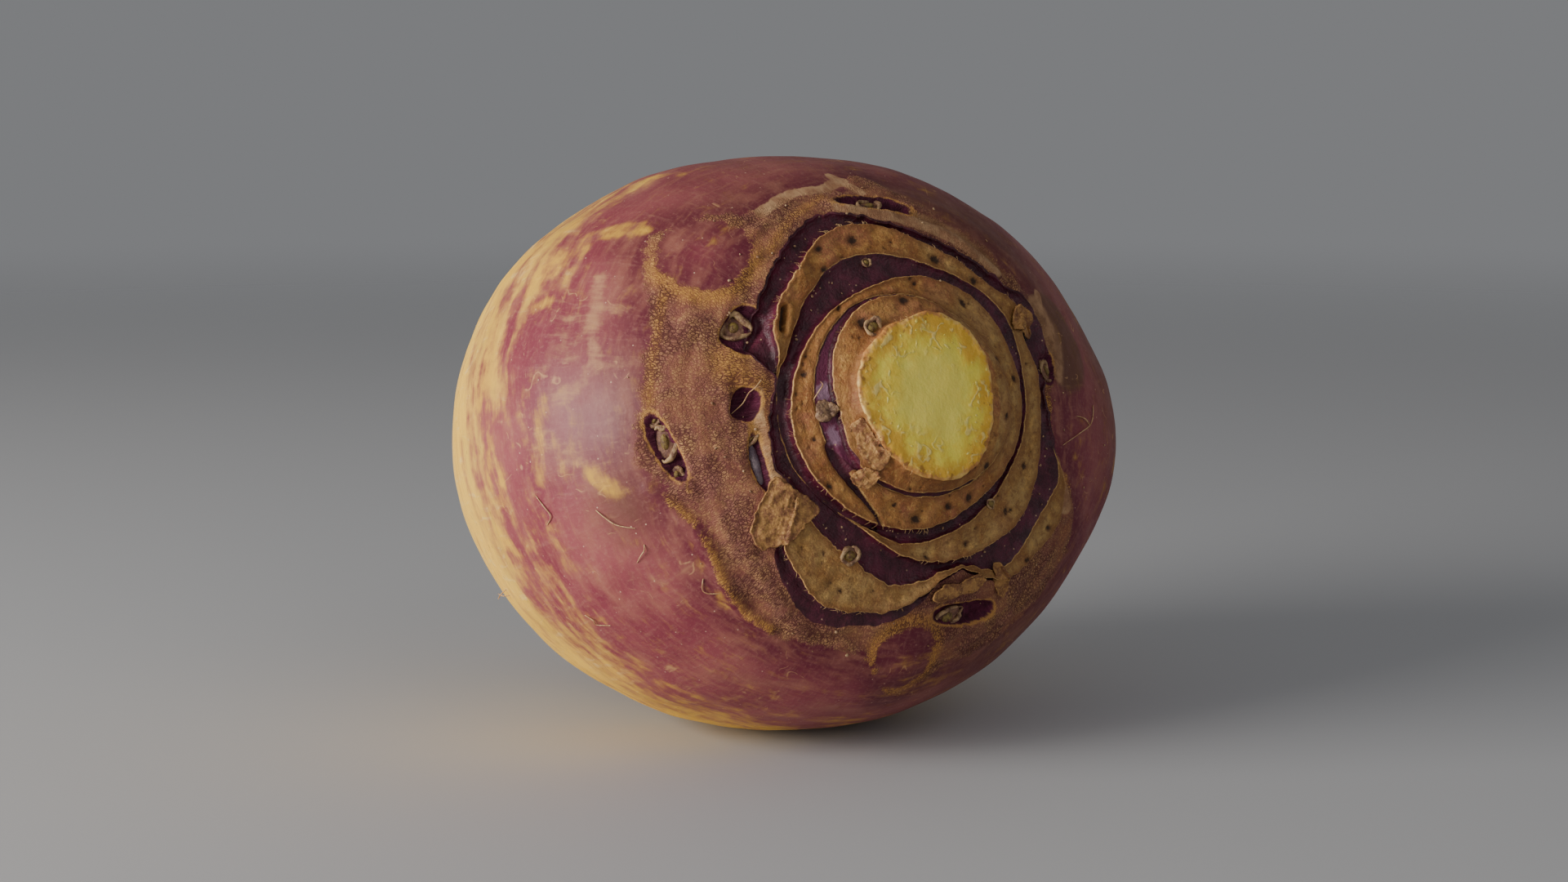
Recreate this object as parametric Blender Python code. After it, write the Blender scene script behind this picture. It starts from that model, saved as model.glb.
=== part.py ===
"""A swede (rutabaga) lying on its side on a small flat spot, its crown to +X and tilted up.

It grew as one piece, so it is one closed body: the swollen root with its trimmed tail, and the
crown with the cut end of the neck, three rings of leaf scars with grooves between them, and the
niches that the buds sit in.

The surface is a turned outline. A place on it has an angle round the axis (0 points to the side,
+Y, and 90 upwards, in degrees) and a reach: the length in mm along the outline from the crown's
centre.
"""

import math

import bmesh
import bpy
from mathutils import Matrix, Vector

MM = 0.001

# The swollen root, in mm from the centre of its widest girth.
GIRTH_RADIUS = 60.0
CROWN_RISE = 48.0
CROWN_FULLNESS = 2.43
ROOT_DEPTH = 69.0
ROOT_FULLNESS = 1.98

# Out of round: two broad sides, three slight ones, and one shoulder that bulges under a leaf scar.
OVAL, OVAL_ANGLE = 0.076, -5.5
THREE_SIDED, THREE_SIDED_ANGLE = 0.017, 25.5
SHOULDER, SHOULDER_ANGLE, SHOULDER_TURN = 0.074, -8.0, 62.0
SHOULDER_WIDTH, SHOULDER_LENGTH = 14.0, 16.0

# The tail is the taproot, trimmed short: (radius, distance below the girth).
TAIL_LEAVES = 17.0
TAIL_POINTS = [(9.0, 72.5), (6.0, 77.0), (4.6, 83.0)]
TAIL_END = 83.8

# How it lies, and how deep the spot it rests on is pressed flat.
TILT = 15.57
FLAT_DEPTH = 1.0

# Closed lines round the crown, each as (angle, reach). A scar is the band between two of them.
CUT_EDGE = [(10, 14.6), (50, 15.6), (90, 15.1), (125, 14.4), (168, 15.8), (215, 13.3), (260, 14.9),
            (281, 16.2), (326, 13.9)]
LEDGE_RIM = [(10, 19.7), (55, 18.4), (112, 20.1), (145, 19.4), (185, 17.4), (216, 18.2), (250, 17.3),
             (290, 17.5), (340, 19.7)]
SCAR_1_EDGE = [(10, 20.0), (55, 18.7), (112, 20.4), (150, 21.0), (200, 20.9), (226, 22.0), (248, 23.6),
               (262, 18.2), (290, 17.8), (340, 20.0)]
SCAR_1_RIM = [(20, 24.7), (45, 25.3), (75, 24.2), (106, 22.4), (135, 23.0), (160, 24.3), (192, 25.8),
              (232, 24.8), (268, 23.4), (302, 22.1), (345, 23.8)]
SCAR_2_EDGE = [(8, 26.9), (32, 29.3), (68, 27.5), (108, 29.1), (130, 27.3), (152, 25.9), (166, 26.0),
               (200, 26.4), (232, 25.2), (258, 26.0), (285, 24.9), (322, 24.4), (350, 25.8)]
SCAR_2_RIM = [(8, 30.4), (22, 30.4), (30, 33.6), (44, 31.3), (70, 32.1), (96, 35.6), (116, 34.4),
              (136, 31.4), (154, 29.1), (166, 26.4), (200, 26.8), (230, 25.4), (250, 27.6), (270, 29.8),
              (300, 31.4), (316, 32.2), (346, 29.6)]
GROOVE_EDGE = [(6, 33.2), (20, 37.2), (30, 37.4), (46, 33.8), (74, 34.7), (90, 37.0), (103, 39.5),
               (122, 36.8), (144, 33.6), (154, 37.5), (161, 32.0), (167, 26.5), (184, 29.0), (212, 28.5),
               (240, 31.6), (262, 34.0), (280, 31.8), (300, 37.5), (330, 37.8), (346, 33.0)]
SCAR_3_RIM = [(6, 33.4), (20, 37.4), (30, 37.6), (46, 34.0), (74, 34.9), (90, 37.2), (103, 39.7),
              (122, 37.0), (144, 33.8), (154, 37.7), (161, 32.2), (167, 26.7), (184, 29.2), (208, 29.4),
              (220, 36.6), (242, 41.7), (256, 38.6), (276, 35.0), (287, 33.8), (298, 39.6), (322, 42.1),
              (336, 39.0), (346, 33.6)]
CRESCENT_EDGE = [(6, 33.6), (20, 37.6), (30, 37.8), (46, 34.2), (74, 35.1), (90, 37.4), (103, 39.9),
                 (122, 37.2), (144, 34.0), (154, 37.9), (161, 32.4), (167, 26.9), (184, 29.4), (208, 29.6),
                 (220, 38.4), (242, 45.7), (262, 41.0), (276, 35.4), (287, 34.2), (298, 40.0), (322, 42.5),
                 (336, 39.4), (346, 34.0)]

# Heights above the plain dome, along the axis, in mm.
CUT_HEIGHT, CUT_FOOT = 5.8, 3.9
LEDGE_HEIGHT, LEDGE_FOOT = 3.0, 1.5
SCAR_FULL_WIDTH = 2.0

# Scar rings from the neck outwards: edge line, rim line, height at the edge and at the rim, height
# of the foot under the rim and of the groove's floor, and the level where the scar is missing.
SCAR_RINGS = [
    (SCAR_1_EDGE, SCAR_1_RIM, 1.6, 1.3, -1.1, -1.7, 1.2),
    (SCAR_2_EDGE, SCAR_2_RIM, -0.2, 0.9, -1.5, -2.0, -1.8),
    (GROOVE_EDGE, SCAR_3_RIM, -0.1, 0.8, -1.0, -1.0, 0.0),
]

# Bud niches, pits, swellings and furrows: (angle, reach, half width across, half length along the
# outline, turn in degrees, height). Minus sinks in.
LUMPS = [
    (154, 35.4, 2.4, 2.4, 0, -1.5), (153, 35.2, 1.0, 1.4, 30, 1.5),
    (174, 32.6, 2.0, 1.8, 0, -1.4), (195, 32.6, 3.6, 1.2, 10, -1.5),
    (185, 46.9, 5.2, 2.0, -12, -1.7), (185, 46.9, 3.2, 0.9, -12, 1.5),
    (86, 40.0, 5.5, 1.6, 8, -1.8), (86, 39.8, 2.2, 1.1, 0, 1.6),
    (281, 42.0, 5.0, 1.9, -14, -1.9), (280, 41.6, 2.2, 1.2, -14, 1.6),
    (239, 31.2, 1.5, 1.5, 0, 1.3), (7, 34.4, 2.2, 2.4, 0, -1.3),
    (137, 46.0, 8.0, 6.0, 20, 1.0), (269, 51.0, 5.0, 7.0, 0, 1.0),
    (211, 34.5, 4.6, 4.0, 0, 1.2), (60, 43.0, 16.0, 2.4, 0, 0.8),
    (78, 150.0, 4.0, 16.0, 4, -1.6), (256, 152.0, 4.0, 15.0, -5, -1.7),
    (20, 146.0, 12.0, 7.0, 0, 0.9), (165, 140.0, 13.0, 8.0, 10, 0.9), (318, 150.0, 10.0, 7.0, 0, -0.8),
]

# How finely it is faceted.
COLUMNS = 84
BODY_ROWS = 24
TAIL_ROW_REACH = 158.0
OUTLINE_STEPS = 400


def root_outline():
    """Points (reach, radius, height, turn from the crown's centre) of the turned outline."""
    points = []
    for step in range(OUTLINE_STEPS + 1):
        turn = math.pi * step / OUTLINE_STEPS
        side, along = math.sin(turn), math.cos(turn)
        if along >= 0.0:
            radius = GIRTH_RADIUS * side ** (2 / CROWN_FULLNESS)
            height = CROWN_RISE * along ** (2 / CROWN_FULLNESS)
        else:
            radius = GIRTH_RADIUS * max(side, 0.0) ** (2 / ROOT_FULLNESS)
            height = -ROOT_DEPTH * (-along) ** (2 / ROOT_FULLNESS)
            if radius < TAIL_LEAVES:
                break
        points.append((radius, height, turn))
    curve = [points[-1][:2]] + [(radius, -depth) for radius, depth in TAIL_POINTS]
    last_turn = points[-1][2]
    for leg in range(len(curve) - 1):
        before = curve[max(leg - 1, 0)]
        start, end = curve[leg], curve[leg + 1]
        after = curve[min(leg + 2, len(curve) - 1)]
        for step in range(1, 9):
            share = step / 8
            radius, height = (smooth_between(before[axis], start[axis], end[axis], after[axis], share)
                              for axis in (0, 1))
            points.append((radius, height, last_turn + (math.pi - last_turn) * share))
    points.append((0.0, -TAIL_END, math.pi))
    outline, reach = [], 0.0
    for index, (radius, height, turn) in enumerate(points):
        if index:
            reach += math.dist((radius, height), points[index - 1][:2])
        outline.append((reach, radius, height, turn))
    return outline


def smooth_between(before, start, end, after, share):
    """Value on a smooth curve through four even steps, between the middle two."""
    rise, fall = (end - before) / 2, (after - start) / 2
    square, cube = share * share, share ** 3
    return ((2 * cube - 3 * square + 1) * start + (cube - 2 * square + share) * rise
            + (3 * square - 2 * cube) * end + (cube - square) * fall)


def line_reach(line, angle):
    """Reach of a closed crown line at an angle in degrees."""
    count = len(line)
    for index, (here, reach) in enumerate(line):
        ahead, next_reach = line[(index + 1) % count]
        span = (ahead - here) % 360
        share = ((angle - here) % 360) / span
        if share < 1.0:
            before, after = line[index - 1][1], line[(index + 2) % count][1]
            return smooth_between(before, reach, next_reach, after, share)
    return line[0][1]


def crown_rows(angle):
    """Reach and height of each row of the crown at an angle, from the cut's centre outwards."""
    cut, ledge = line_reach(CUT_EDGE, angle), line_reach(LEDGE_RIM, angle)
    rows = [(0.0, CUT_HEIGHT), (0.5 * cut, CUT_HEIGHT), (cut - 0.8, CUT_HEIGHT),
            (cut, CUT_HEIGHT - 0.4), (cut + 0.5, CUT_FOOT), ((cut + ledge) / 2, 3.5),
            (ledge - 0.4, LEDGE_HEIGHT), (ledge, LEDGE_HEIGHT - 0.3), (ledge + 0.3, LEDGE_FOOT)]
    for edge_line, rim_line, edge_height, rim_height, foot, floor, missing in SCAR_RINGS:
        edge, rim = line_reach(edge_line, angle), line_reach(rim_line, angle)
        share = min(max((rim - edge) / SCAR_FULL_WIDTH, 0.0), 1.0)
        there = share * share * (3 - 2 * share)
        middle = (edge_height + rim_height) / 2 - 0.15
        for reach, height in [(edge, edge_height), ((edge + rim) / 2, middle), (rim - 0.4, rim_height),
                              (rim, rim_height - 0.3)]:
            rows.append((reach, missing + there * (height - missing)))
        rows.append((rim + 0.35, foot))
        rows.append((None, floor))
    rows.append((line_reach(CRESCENT_EDGE, angle), 0.0))
    return settle_rows(rows)


def settle_rows(rows):
    """Put each groove's floor between its neighbours and keep every row outside the one before."""
    least_gap = 0.22
    settled = []
    for index, (reach, height) in enumerate(rows):
        if reach is None:
            reach = (rows[index - 1][0] + rows[index + 1][0]) / 2
        if settled and reach < settled[-1][0] + least_gap:
            narrow = settled[-1][0] + least_gap - reach
            reach += narrow
            height = settled[-1][1] + (height - settled[-1][1]) / (1 + 2 * narrow)
        settled.append((reach, height))
    return settled


class Surface:
    """The root's surface as a formula of reach, angle and height."""

    def __init__(self):
        self.outline = root_outline()
        self.end_reach = self.outline[-1][0]

    def at(self, reach):
        """Radius, height and turn of the plain outline at a reach."""
        reach = min(max(reach, 0.0), self.end_reach)
        for index in range(1, len(self.outline)):
            low, high = self.outline[index - 1], self.outline[index]
            if reach <= high[0]:
                share = (reach - low[0]) / (high[0] - low[0])
                return tuple(low[axis] + share * (high[axis] - low[axis]) for axis in (1, 2, 3))
        return self.outline[-1][1:]

    def point(self, reach, angle, height):
        radius, level, turn = self.at(reach)
        height += lump_height(reach, angle, radius)
        roundness = math.sin(turn) ** 2
        swell = 1 + roundness * (OVAL * math.cos(2 * math.radians(angle - OVAL_ANGLE))
                                 + THREE_SIDED * math.cos(3 * math.radians(angle - THREE_SIDED_ANGLE)))
        across = angle_between(angle, SHOULDER_ANGLE) / SHOULDER_WIDTH
        along = (math.degrees(turn) - SHOULDER_TURN) / SHOULDER_LENGTH
        swell *= 1 + SHOULDER * math.exp(-(across ** 2 + along ** 2) / 2)
        upward = max(math.cos(turn), 0.0) if turn < math.pi / 2 else -max(-math.cos(turn), 0.0)
        outward = math.sin(turn)
        if reach < CUT_EDGE[0][1] * 2.7:
            upward, outward = 1.0, 0.0
        radius = radius * swell + outward * height
        heading = math.radians(angle)
        return Vector((radius * math.cos(heading), radius * math.sin(heading), level + upward * height))


def angle_between(angle, other):
    """Signed turn in degrees from other to angle, the short way."""
    return (angle - other + 180) % 360 - 180


def lump_height(reach, angle, radius):
    """Height that the niches, pits, swellings and furrows add at a place."""
    height = 0.0
    for centre, centre_reach, width, length, turn, rise in LUMPS:
        across = math.radians(angle_between(angle, centre)) * radius
        along = reach - centre_reach
        lean = math.radians(turn)
        u = (across * math.cos(lean) + along * math.sin(lean)) / width
        v = (along * math.cos(lean) - across * math.sin(lean)) / length
        height += rise * math.exp(-0.5 * (u * u + v * v))
    return height


def model_rutabaga():
    """Spin a chain of vertices about the axis, then set each one on the surface."""
    surface = Surface()
    crown_count = len(crown_rows(0.0))
    row_count = crown_count + BODY_ROWS + 8
    body = bmesh.new()
    row_layer = body.verts.layers.int.new("row")
    chain = []
    for row in range(row_count):
        on_axis = row in (0, row_count - 1)
        vert = body.verts.new((0.0 if on_axis else 1.0, 0.0, -0.1 * row))
        vert[row_layer] = row
        chain.append(vert)
    edges = [body.edges.new(pair) for pair in zip(chain, chain[1:])]
    bmesh.ops.spin(body, geom=chain + edges, cent=(0, 0, 0), axis=(0, 0, 1), angle=math.tau,
                   steps=COLUMNS, use_merge=True, use_duplicate=False)
    bmesh.ops.remove_doubles(body, verts=body.verts, dist=1e-4)

    sections = {}
    for vert in body.verts:
        row = vert[row_layer]
        angle = round(math.degrees(math.atan2(vert.co.y, vert.co.x)) * COLUMNS / 360) % COLUMNS
        angle *= 360 / COLUMNS
        if angle not in sections:
            sections[angle] = body_rows(crown_rows(angle), surface.end_reach)
        reach, height = sections[angle][row]
        vert.co = surface.point(reach, angle, height) * MM
    bmesh.ops.recalc_face_normals(body, faces=body.faces)
    return body


def body_rows(rows, end_reach):
    """Carry a crown section on down the root to the end of the tail."""
    rows = list(rows)
    start = rows[-1][0]
    for step in range(1, BODY_ROWS + 1):
        rows.append((start + (TAIL_ROW_REACH - start) * step / BODY_ROWS, 0.0))
    for step in range(1, 9):
        rows.append((TAIL_ROW_REACH + (end_reach - TAIL_ROW_REACH) * step / 8, 0.0))
    return rows


def lay_down(body):
    """Tilt the crown up, press the flat spot, and stand the box's bottom centre on the origin."""
    tilt = math.radians(TILT)
    lie = Matrix(((0, -math.sin(tilt), math.cos(tilt)), (1, 0, 0), (0, math.cos(tilt), math.sin(tilt))))
    bmesh.ops.transform(body, matrix=lie.to_4x4(), verts=body.verts)
    floor = min(vert.co.z for vert in body.verts) + FLAT_DEPTH * MM
    bmesh.ops.bisect_plane(body, geom=body.verts[:] + body.edges[:] + body.faces[:], dist=1e-5,
                           plane_co=(0, 0, floor), plane_no=(0, 0, -1), clear_outer=True)
    rim = [edge for edge in body.edges if edge.is_boundary]
    bmesh.ops.contextual_create(body, geom=rim)
    middle = [(min(values) + max(values)) / 2
              for values in ([vert.co[axis] for vert in body.verts] for axis in (0, 1))]
    bmesh.ops.translate(body, vec=(-middle[0], -middle[1], -floor), verts=body.verts)
    bmesh.ops.triangulate(body, faces=body.faces)
    bmesh.ops.recalc_face_normals(body, faces=body.faces)


def skin_material():
    """Dull plum skin."""
    material = bpy.data.materials.new("plum_skin")
    material.use_nodes = True
    shader = material.node_tree.nodes["Principled BSDF"]
    shader.inputs["Base Color"].default_value = (0.26, 0.08, 0.11, 1.0)
    shader.inputs["Roughness"].default_value = 0.42
    shader.inputs["Metallic"].default_value = 0.0
    return material


def add_rutabaga():
    """The whole swede as one object, with its sharp rims kept crisp."""
    body = model_rutabaga()
    lay_down(body)
    mesh = bpy.data.meshes.new("rutabaga")
    body.to_mesh(mesh)
    body.free()
    mesh.shade_smooth()
    mesh.set_sharp_from_angle(angle=math.radians(40))
    mesh.materials.append(skin_material())
    rutabaga = bpy.data.objects.new("rutabaga", mesh)
    bpy.context.scene.collection.objects.link(rutabaga)


for old in list(bpy.context.scene.objects):
    bpy.data.objects.remove(old, do_unlink=True)
add_rutabaga()
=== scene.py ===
import cmath
import math
import random

import bmesh
import bpy
import numpy as np
from mathutils import Matrix, Vector, noise


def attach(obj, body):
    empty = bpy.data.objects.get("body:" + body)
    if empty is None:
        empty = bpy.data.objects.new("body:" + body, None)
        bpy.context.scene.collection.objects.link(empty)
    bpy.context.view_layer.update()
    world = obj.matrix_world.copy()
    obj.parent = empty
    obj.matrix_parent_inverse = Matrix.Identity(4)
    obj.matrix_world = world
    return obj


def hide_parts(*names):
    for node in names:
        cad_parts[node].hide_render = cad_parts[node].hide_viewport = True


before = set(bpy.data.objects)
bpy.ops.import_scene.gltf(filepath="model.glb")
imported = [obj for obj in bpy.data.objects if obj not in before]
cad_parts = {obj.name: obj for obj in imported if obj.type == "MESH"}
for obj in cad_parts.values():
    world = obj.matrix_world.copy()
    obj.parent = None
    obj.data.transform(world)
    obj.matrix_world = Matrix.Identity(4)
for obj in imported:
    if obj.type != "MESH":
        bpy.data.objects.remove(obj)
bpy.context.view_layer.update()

# The swede itself: one grown body, lying on its side. The root is swollen, and its top is the
# crown, where the neck was cut off and each fallen leaf has left a scar, a tan ledge of dried
# tissue, with a strip of dark stem between it and the next. Cork has healed the cracks round them.
#
# A place on it has an angle round the axis, in degrees, with 0 to the side (+Y) and 90 upwards, and
# a reach: the length in mm along the outline from the crown's centre. Heights are in mm above the
# plain outline.

MM = 0.001

GIRTH_RADIUS = 60
CROWN_RISE, CROWN_FULLNESS = 48, 2.43
ROOT_DEPTH, ROOT_FULLNESS = 69, 1.98
OVAL, OVAL_ANGLE = 0.076, -5.5
THREE_SIDED, THREE_SIDED_ANGLE = 0.017, 25.5
SHOULDER, SHOULDER_ANGLE, SHOULDER_TURN = 0.074, -8, 62
SHOULDER_WIDTH, SHOULDER_LENGTH = 14, 16
TAIL_LEAVES = 17
TAIL_POINTS = [(9, 72.5), (6, 77), (4.6, 83)]
TAIL_END = 83.8
TILT = math.radians(15.57)
FLAT_DEPTH = 1
UPRIGHT_TO, SQUARE_FROM = 30, 48
NOISE_GAIN = 1.6


def smooth_between(before, start, end, after, share):
    """Value on a smooth curve through four even steps, between the middle two."""
    rise, fall = (end - before) / 2, (after - start) / 2
    square, cube = share * share, share ** 3
    return ((2 * cube - 3 * square + 1) * start + (cube - 2 * square + share) * rise
            + (3 * square - 2 * cube) * end + (cube - square) * fall)


def smooth_through(stops, shares):
    """Points at each of the shares of every leg of a smooth curve through stops."""
    ends = np.array([stops[0], *stops, stops[-1]])
    return [smooth_between(*ends[leg:leg + 4], share) for leg in range(len(stops) - 1) for share in shares]


def smooth_step(value, low, high):
    """0 below low, 1 above high, and a smooth rise between."""
    share = np.clip((value - low) / (high - low), 0, 1)
    return share * share * (3 - 2 * share)


def angle_between(angle, other):
    """Signed turn in degrees from other to angle, the short way."""
    return (angle - other + 180) % 360 - 180


def root_outline():
    """Reach, radius, height and turn along the turned outline, as four arrays."""
    turn = np.linspace(0, math.pi, 1601)
    side, along = np.clip(np.sin(turn), 0, 1), np.cos(turn)
    crown = along >= 0
    radius = GIRTH_RADIUS * np.where(crown, side ** (2 / CROWN_FULLNESS), side ** (2 / ROOT_FULLNESS))
    height = np.where(crown, CROWN_RISE * np.abs(along) ** (2 / CROWN_FULLNESS),
                      -ROOT_DEPTH * np.abs(along) ** (2 / ROOT_FULLNESS))
    kept = crown | (radius >= TAIL_LEAVES)
    radius, height, turn = radius[kept], height[kept], turn[kept]
    share = np.linspace(0, 1, 25)[1:]
    tail = smooth_through([(radius[-1], height[-1])] + [(r, -depth) for r, depth in TAIL_POINTS], share)
    tail = np.array(tail + [(0, -TAIL_END)])
    turns = np.tile(turn[-1] + (math.pi - turn[-1]) * share, len(TAIL_POINTS))
    radius = np.concatenate([radius, tail[:, 0]])
    height = np.concatenate([height, tail[:, 1]])
    turn = np.concatenate([turn, turns, [math.pi]])
    reach = np.concatenate([[0], np.cumsum(np.hypot(np.diff(radius), np.diff(height)))])
    return reach, radius, height, turn


outline = root_outline()
end_reach = outline[0][-1]


def surface(reach, angle, height):
    """Places in mm, in the swede's own axes, for arrays of reach, angle and height. A height is
    along the axis near the crown's centre, and square to the outline further out."""
    radius, level, turn = (np.interp(reach, outline[0], column) for column in outline[1:])
    roundness = np.sin(turn) ** 2
    heading = np.radians(angle)
    swell = 1 + roundness * (OVAL * np.cos(2 * (heading - math.radians(OVAL_ANGLE)))
                             + THREE_SIDED * np.cos(3 * (heading - math.radians(THREE_SIDED_ANGLE))))
    across = angle_between(angle, SHOULDER_ANGLE) / SHOULDER_WIDTH
    along = (np.degrees(turn) - SHOULDER_TURN) / SHOULDER_LENGTH
    swell = swell * (1 + SHOULDER * np.exp(-(across ** 2 + along ** 2) / 2))
    leans = smooth_step(reach, UPRIGHT_TO, SQUARE_FROM)
    upward = (1 - leans) + leans * np.cos(turn)
    radius = radius * swell + leans * np.sin(turn) * height
    return np.stack([radius * np.cos(heading), radius * np.sin(heading), level + upward * height], -1)


def rough(places, size, seed=0):
    """Smooth noise of about -1 to 1 at each place, with lumps of the given size in mm."""
    flat = places.reshape(-1, 3) / size + seed
    values = np.fromiter((noise.noise(Vector(place)) for place in flat), float, len(flat))
    return values.reshape(places.shape[:-1]) * NOISE_GAIN


# Closed lines round the crown, as angle and reach in turn. A scar is the band between its edge
# and its rim.
CUT_EDGE = (6, 14.1, 48, 15.8, 75, 15.9, 104, 14.8, 135, 14.8, 165, 15.1, 205, 13.8, 240, 14.3, 285, 15.5,
    318, 14.8, 342, 13.8)
LEDGE_RIM = (10, 19.7, 55, 18.4, 112, 20.1, 145, 19.4, 185, 17.4, 216, 18.2, 250, 17.3, 290, 17.5,
    340, 19.7)
SCAR_1_EDGE = (10, 20, 55, 18.7, 100, 20.1, 120, 20.8, 150, 21, 194, 20.8, 210, 19.6, 222, 18.3, 246, 17.6,
    300, 18.1, 340, 20)
SCAR_1_RIM = (20, 24.7, 45, 25.3, 75, 24.2, 106, 22.4, 135, 23, 160, 24.3, 192, 25.8, 232, 24.8, 268, 23.4,
    302, 22.1, 345, 23.8)
SCAR_2_EDGE = (8, 26.9, 32, 29.3, 68, 27.5, 108, 29.1, 130, 27.3, 152, 25.9, 166, 26.2, 200, 26.6, 236, 25,
    258, 26, 285, 24.9, 322, 24.4, 350, 25.8)
SCAR_2_RIM = (8, 30.4, 22, 30.4, 30, 33.6, 44, 31.3, 70, 32.1, 96, 35.6, 112, 35, 125, 32.4, 138, 31.2,
    150, 29.8, 160, 27.2, 168, 26.4, 200, 26.8, 234, 25.2, 250, 27.6, 270, 29.8, 300, 31.4, 316, 32.2,
    346, 29.6)
GROOVE_EDGE = (0, 31.8, 10, 34.8, 20, 37.2, 30, 37.4, 42, 34.4, 56, 33.8, 74, 34.7, 88, 36.4, 103, 39.4,
    112, 38.4, 126, 35.9, 142, 33.7, 150, 32.6, 159, 32, 163, 29, 167, 26.8, 176, 27.8, 189, 29.1,
    200, 29.9, 212, 28.5, 222, 30.4, 240, 31.6, 260, 34, 280, 31.6, 290, 33.6, 300, 37.6, 322, 36.9,
    334, 38, 344, 34)
# The third ring's scars, as angle and width in turn: widest at the big pale one, and none where
# it is 0.
SCAR_3_WIDTH = (0, 0, 160, 0, 208, 0, 218, 6.4, 226, 8.2, 240, 10.2, 252, 6.8, 264, 4.2, 272, 2.2, 284, 0.8,
    290, 1.8, 298, 2.4, 310, 3.6, 324, 5.2, 334, 1.6, 344, 0)
CRESCENT_WIDTH = (0, 0, 160, 0, 208, 0, 218, 1.6, 228, 3.2, 242, 4, 254, 3, 266, 2.2, 276, 0, 320, 0)
CORK_EDGE = (2, 35, 14, 39, 42, 39, 64, 40.2, 76, 43.6, 85, 50.6, 94, 46, 106, 45.8, 123, 47.4, 130, 52,
    139, 56.2, 148, 51.8, 160, 48.8, 174, 49.2, 184, 51, 194, 48.8, 205, 46, 220, 49.6, 234, 51.2,
    248, 49.4, 258, 49, 264, 55, 270, 61.4, 277, 57.2, 282, 53.4, 292, 55, 306, 54, 318, 51.8, 328, 49,
    336, 40, 346, 35)
CREAM_EDGE = (0, 104, 40, 102, 80, 97, 110, 90, 135, 87, 155, 88, 175, 92, 195, 94, 222, 94, 250, 89,
    275, 92, 305, 99, 335, 104)

# How far in mm the plum takes to fade into cream, and distances that stand for nowhere near.
CREAM_FADE = 13
FAR_OFF, OUTSIDE = 99, 9

CUT_HEIGHT, CUT_FOOT = 5.8, 4
LEDGE_HEIGHT, LEDGE_FOOT = 3, 1.5

# Scar rings from the neck outwards: heights of the edge, the rim and the groove's floor beyond it,
# and the level where the scar is missing.
RING_HEIGHTS = [(1.6, 1.3, -1.3, 1.2), (0, 0.9, -1.5, -1.3), (-0.1, 0.8, -0.9, 0)]

COLUMNS = 400
angles = np.arange(COLUMNS) * 360 / COLUMNS


def line_reach(line, angle):
    """Reach of a closed crown line at each angle, by a smooth curve through its points."""
    starts, reaches = (np.array(line[::2], float) - line[0]) % 360, np.array(line[1::2], float)
    spans = np.roll(starts, -1) - starts
    spans[-1] += 360
    turned = (np.asarray(angle, float) - line[0]) % 360
    index = np.searchsorted(starts, turned, side="right") - 1
    share = (turned - starts[index]) / spans[index]
    return smooth_between(*(reaches[(index + step) % len(reaches)] for step in (-1, 0, 1, 2)), share)


def ragged(reach, amount, size, seed):
    """A crown line torn in and out by an amount in mm."""
    heading = np.radians(angles)
    ring = np.stack([reach * np.cos(heading), reach * np.sin(heading), np.full(COLUMNS, seed)], -1)
    return reach + amount * (rough(ring, size) + 0.5 * rough(ring, size * 0.4, 7))


class Section:
    """The crown's section at every column, followed from the cut's centre outwards."""

    def __init__(self, height):
        self.reaches = [np.zeros(COLUMNS)]
        self.heights = [np.full(COLUMNS, height)]
        self.sides = [0]

    def to(self, reach, height, rows=1, gap=0.03, side=0):
        """Go on to a reach and height, in a number of rows at least gap mm apart. The side is 1
        down the neck's cut and -1 down a scar's dark outer side."""
        last_reach, last_height = self.reaches[-1], self.heights[-1]
        reach = np.maximum(reach, last_reach + gap * rows)
        for row in range(1, rows + 1):
            share = row / rows
            self.reaches.append(last_reach + (reach - last_reach) * share)
            self.heights.append(last_height + (height - last_height) * share)
            self.sides.append(side)


cut_line = ragged(line_reach(CUT_EDGE, angles), 0.26, 3.2, 1)
ledge_line = ragged(line_reach(LEDGE_RIM, angles), 0.16, 2.2, 2)
groove_line = ragged(line_reach(GROOVE_EDGE, angles), 0.34, 1.8, 8)
scar_3_width = np.maximum(line_reach(SCAR_3_WIDTH, angles), 0)
scar_lines = [(ragged(line_reach(SCAR_1_EDGE, angles), 0.14, 2, 3),
               ragged(line_reach(SCAR_1_RIM, angles), 0.16, 2, 4)),
              (ragged(line_reach(SCAR_2_EDGE, angles), 0.16, 2.4, 5),
               ragged(line_reach(SCAR_2_RIM, angles), 0.20, 1.7, 6)),
              (groove_line, groove_line + scar_3_width)]
crescent_line = scar_lines[2][1] + np.maximum(line_reach(CRESCENT_WIDTH, angles), 0)

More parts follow.
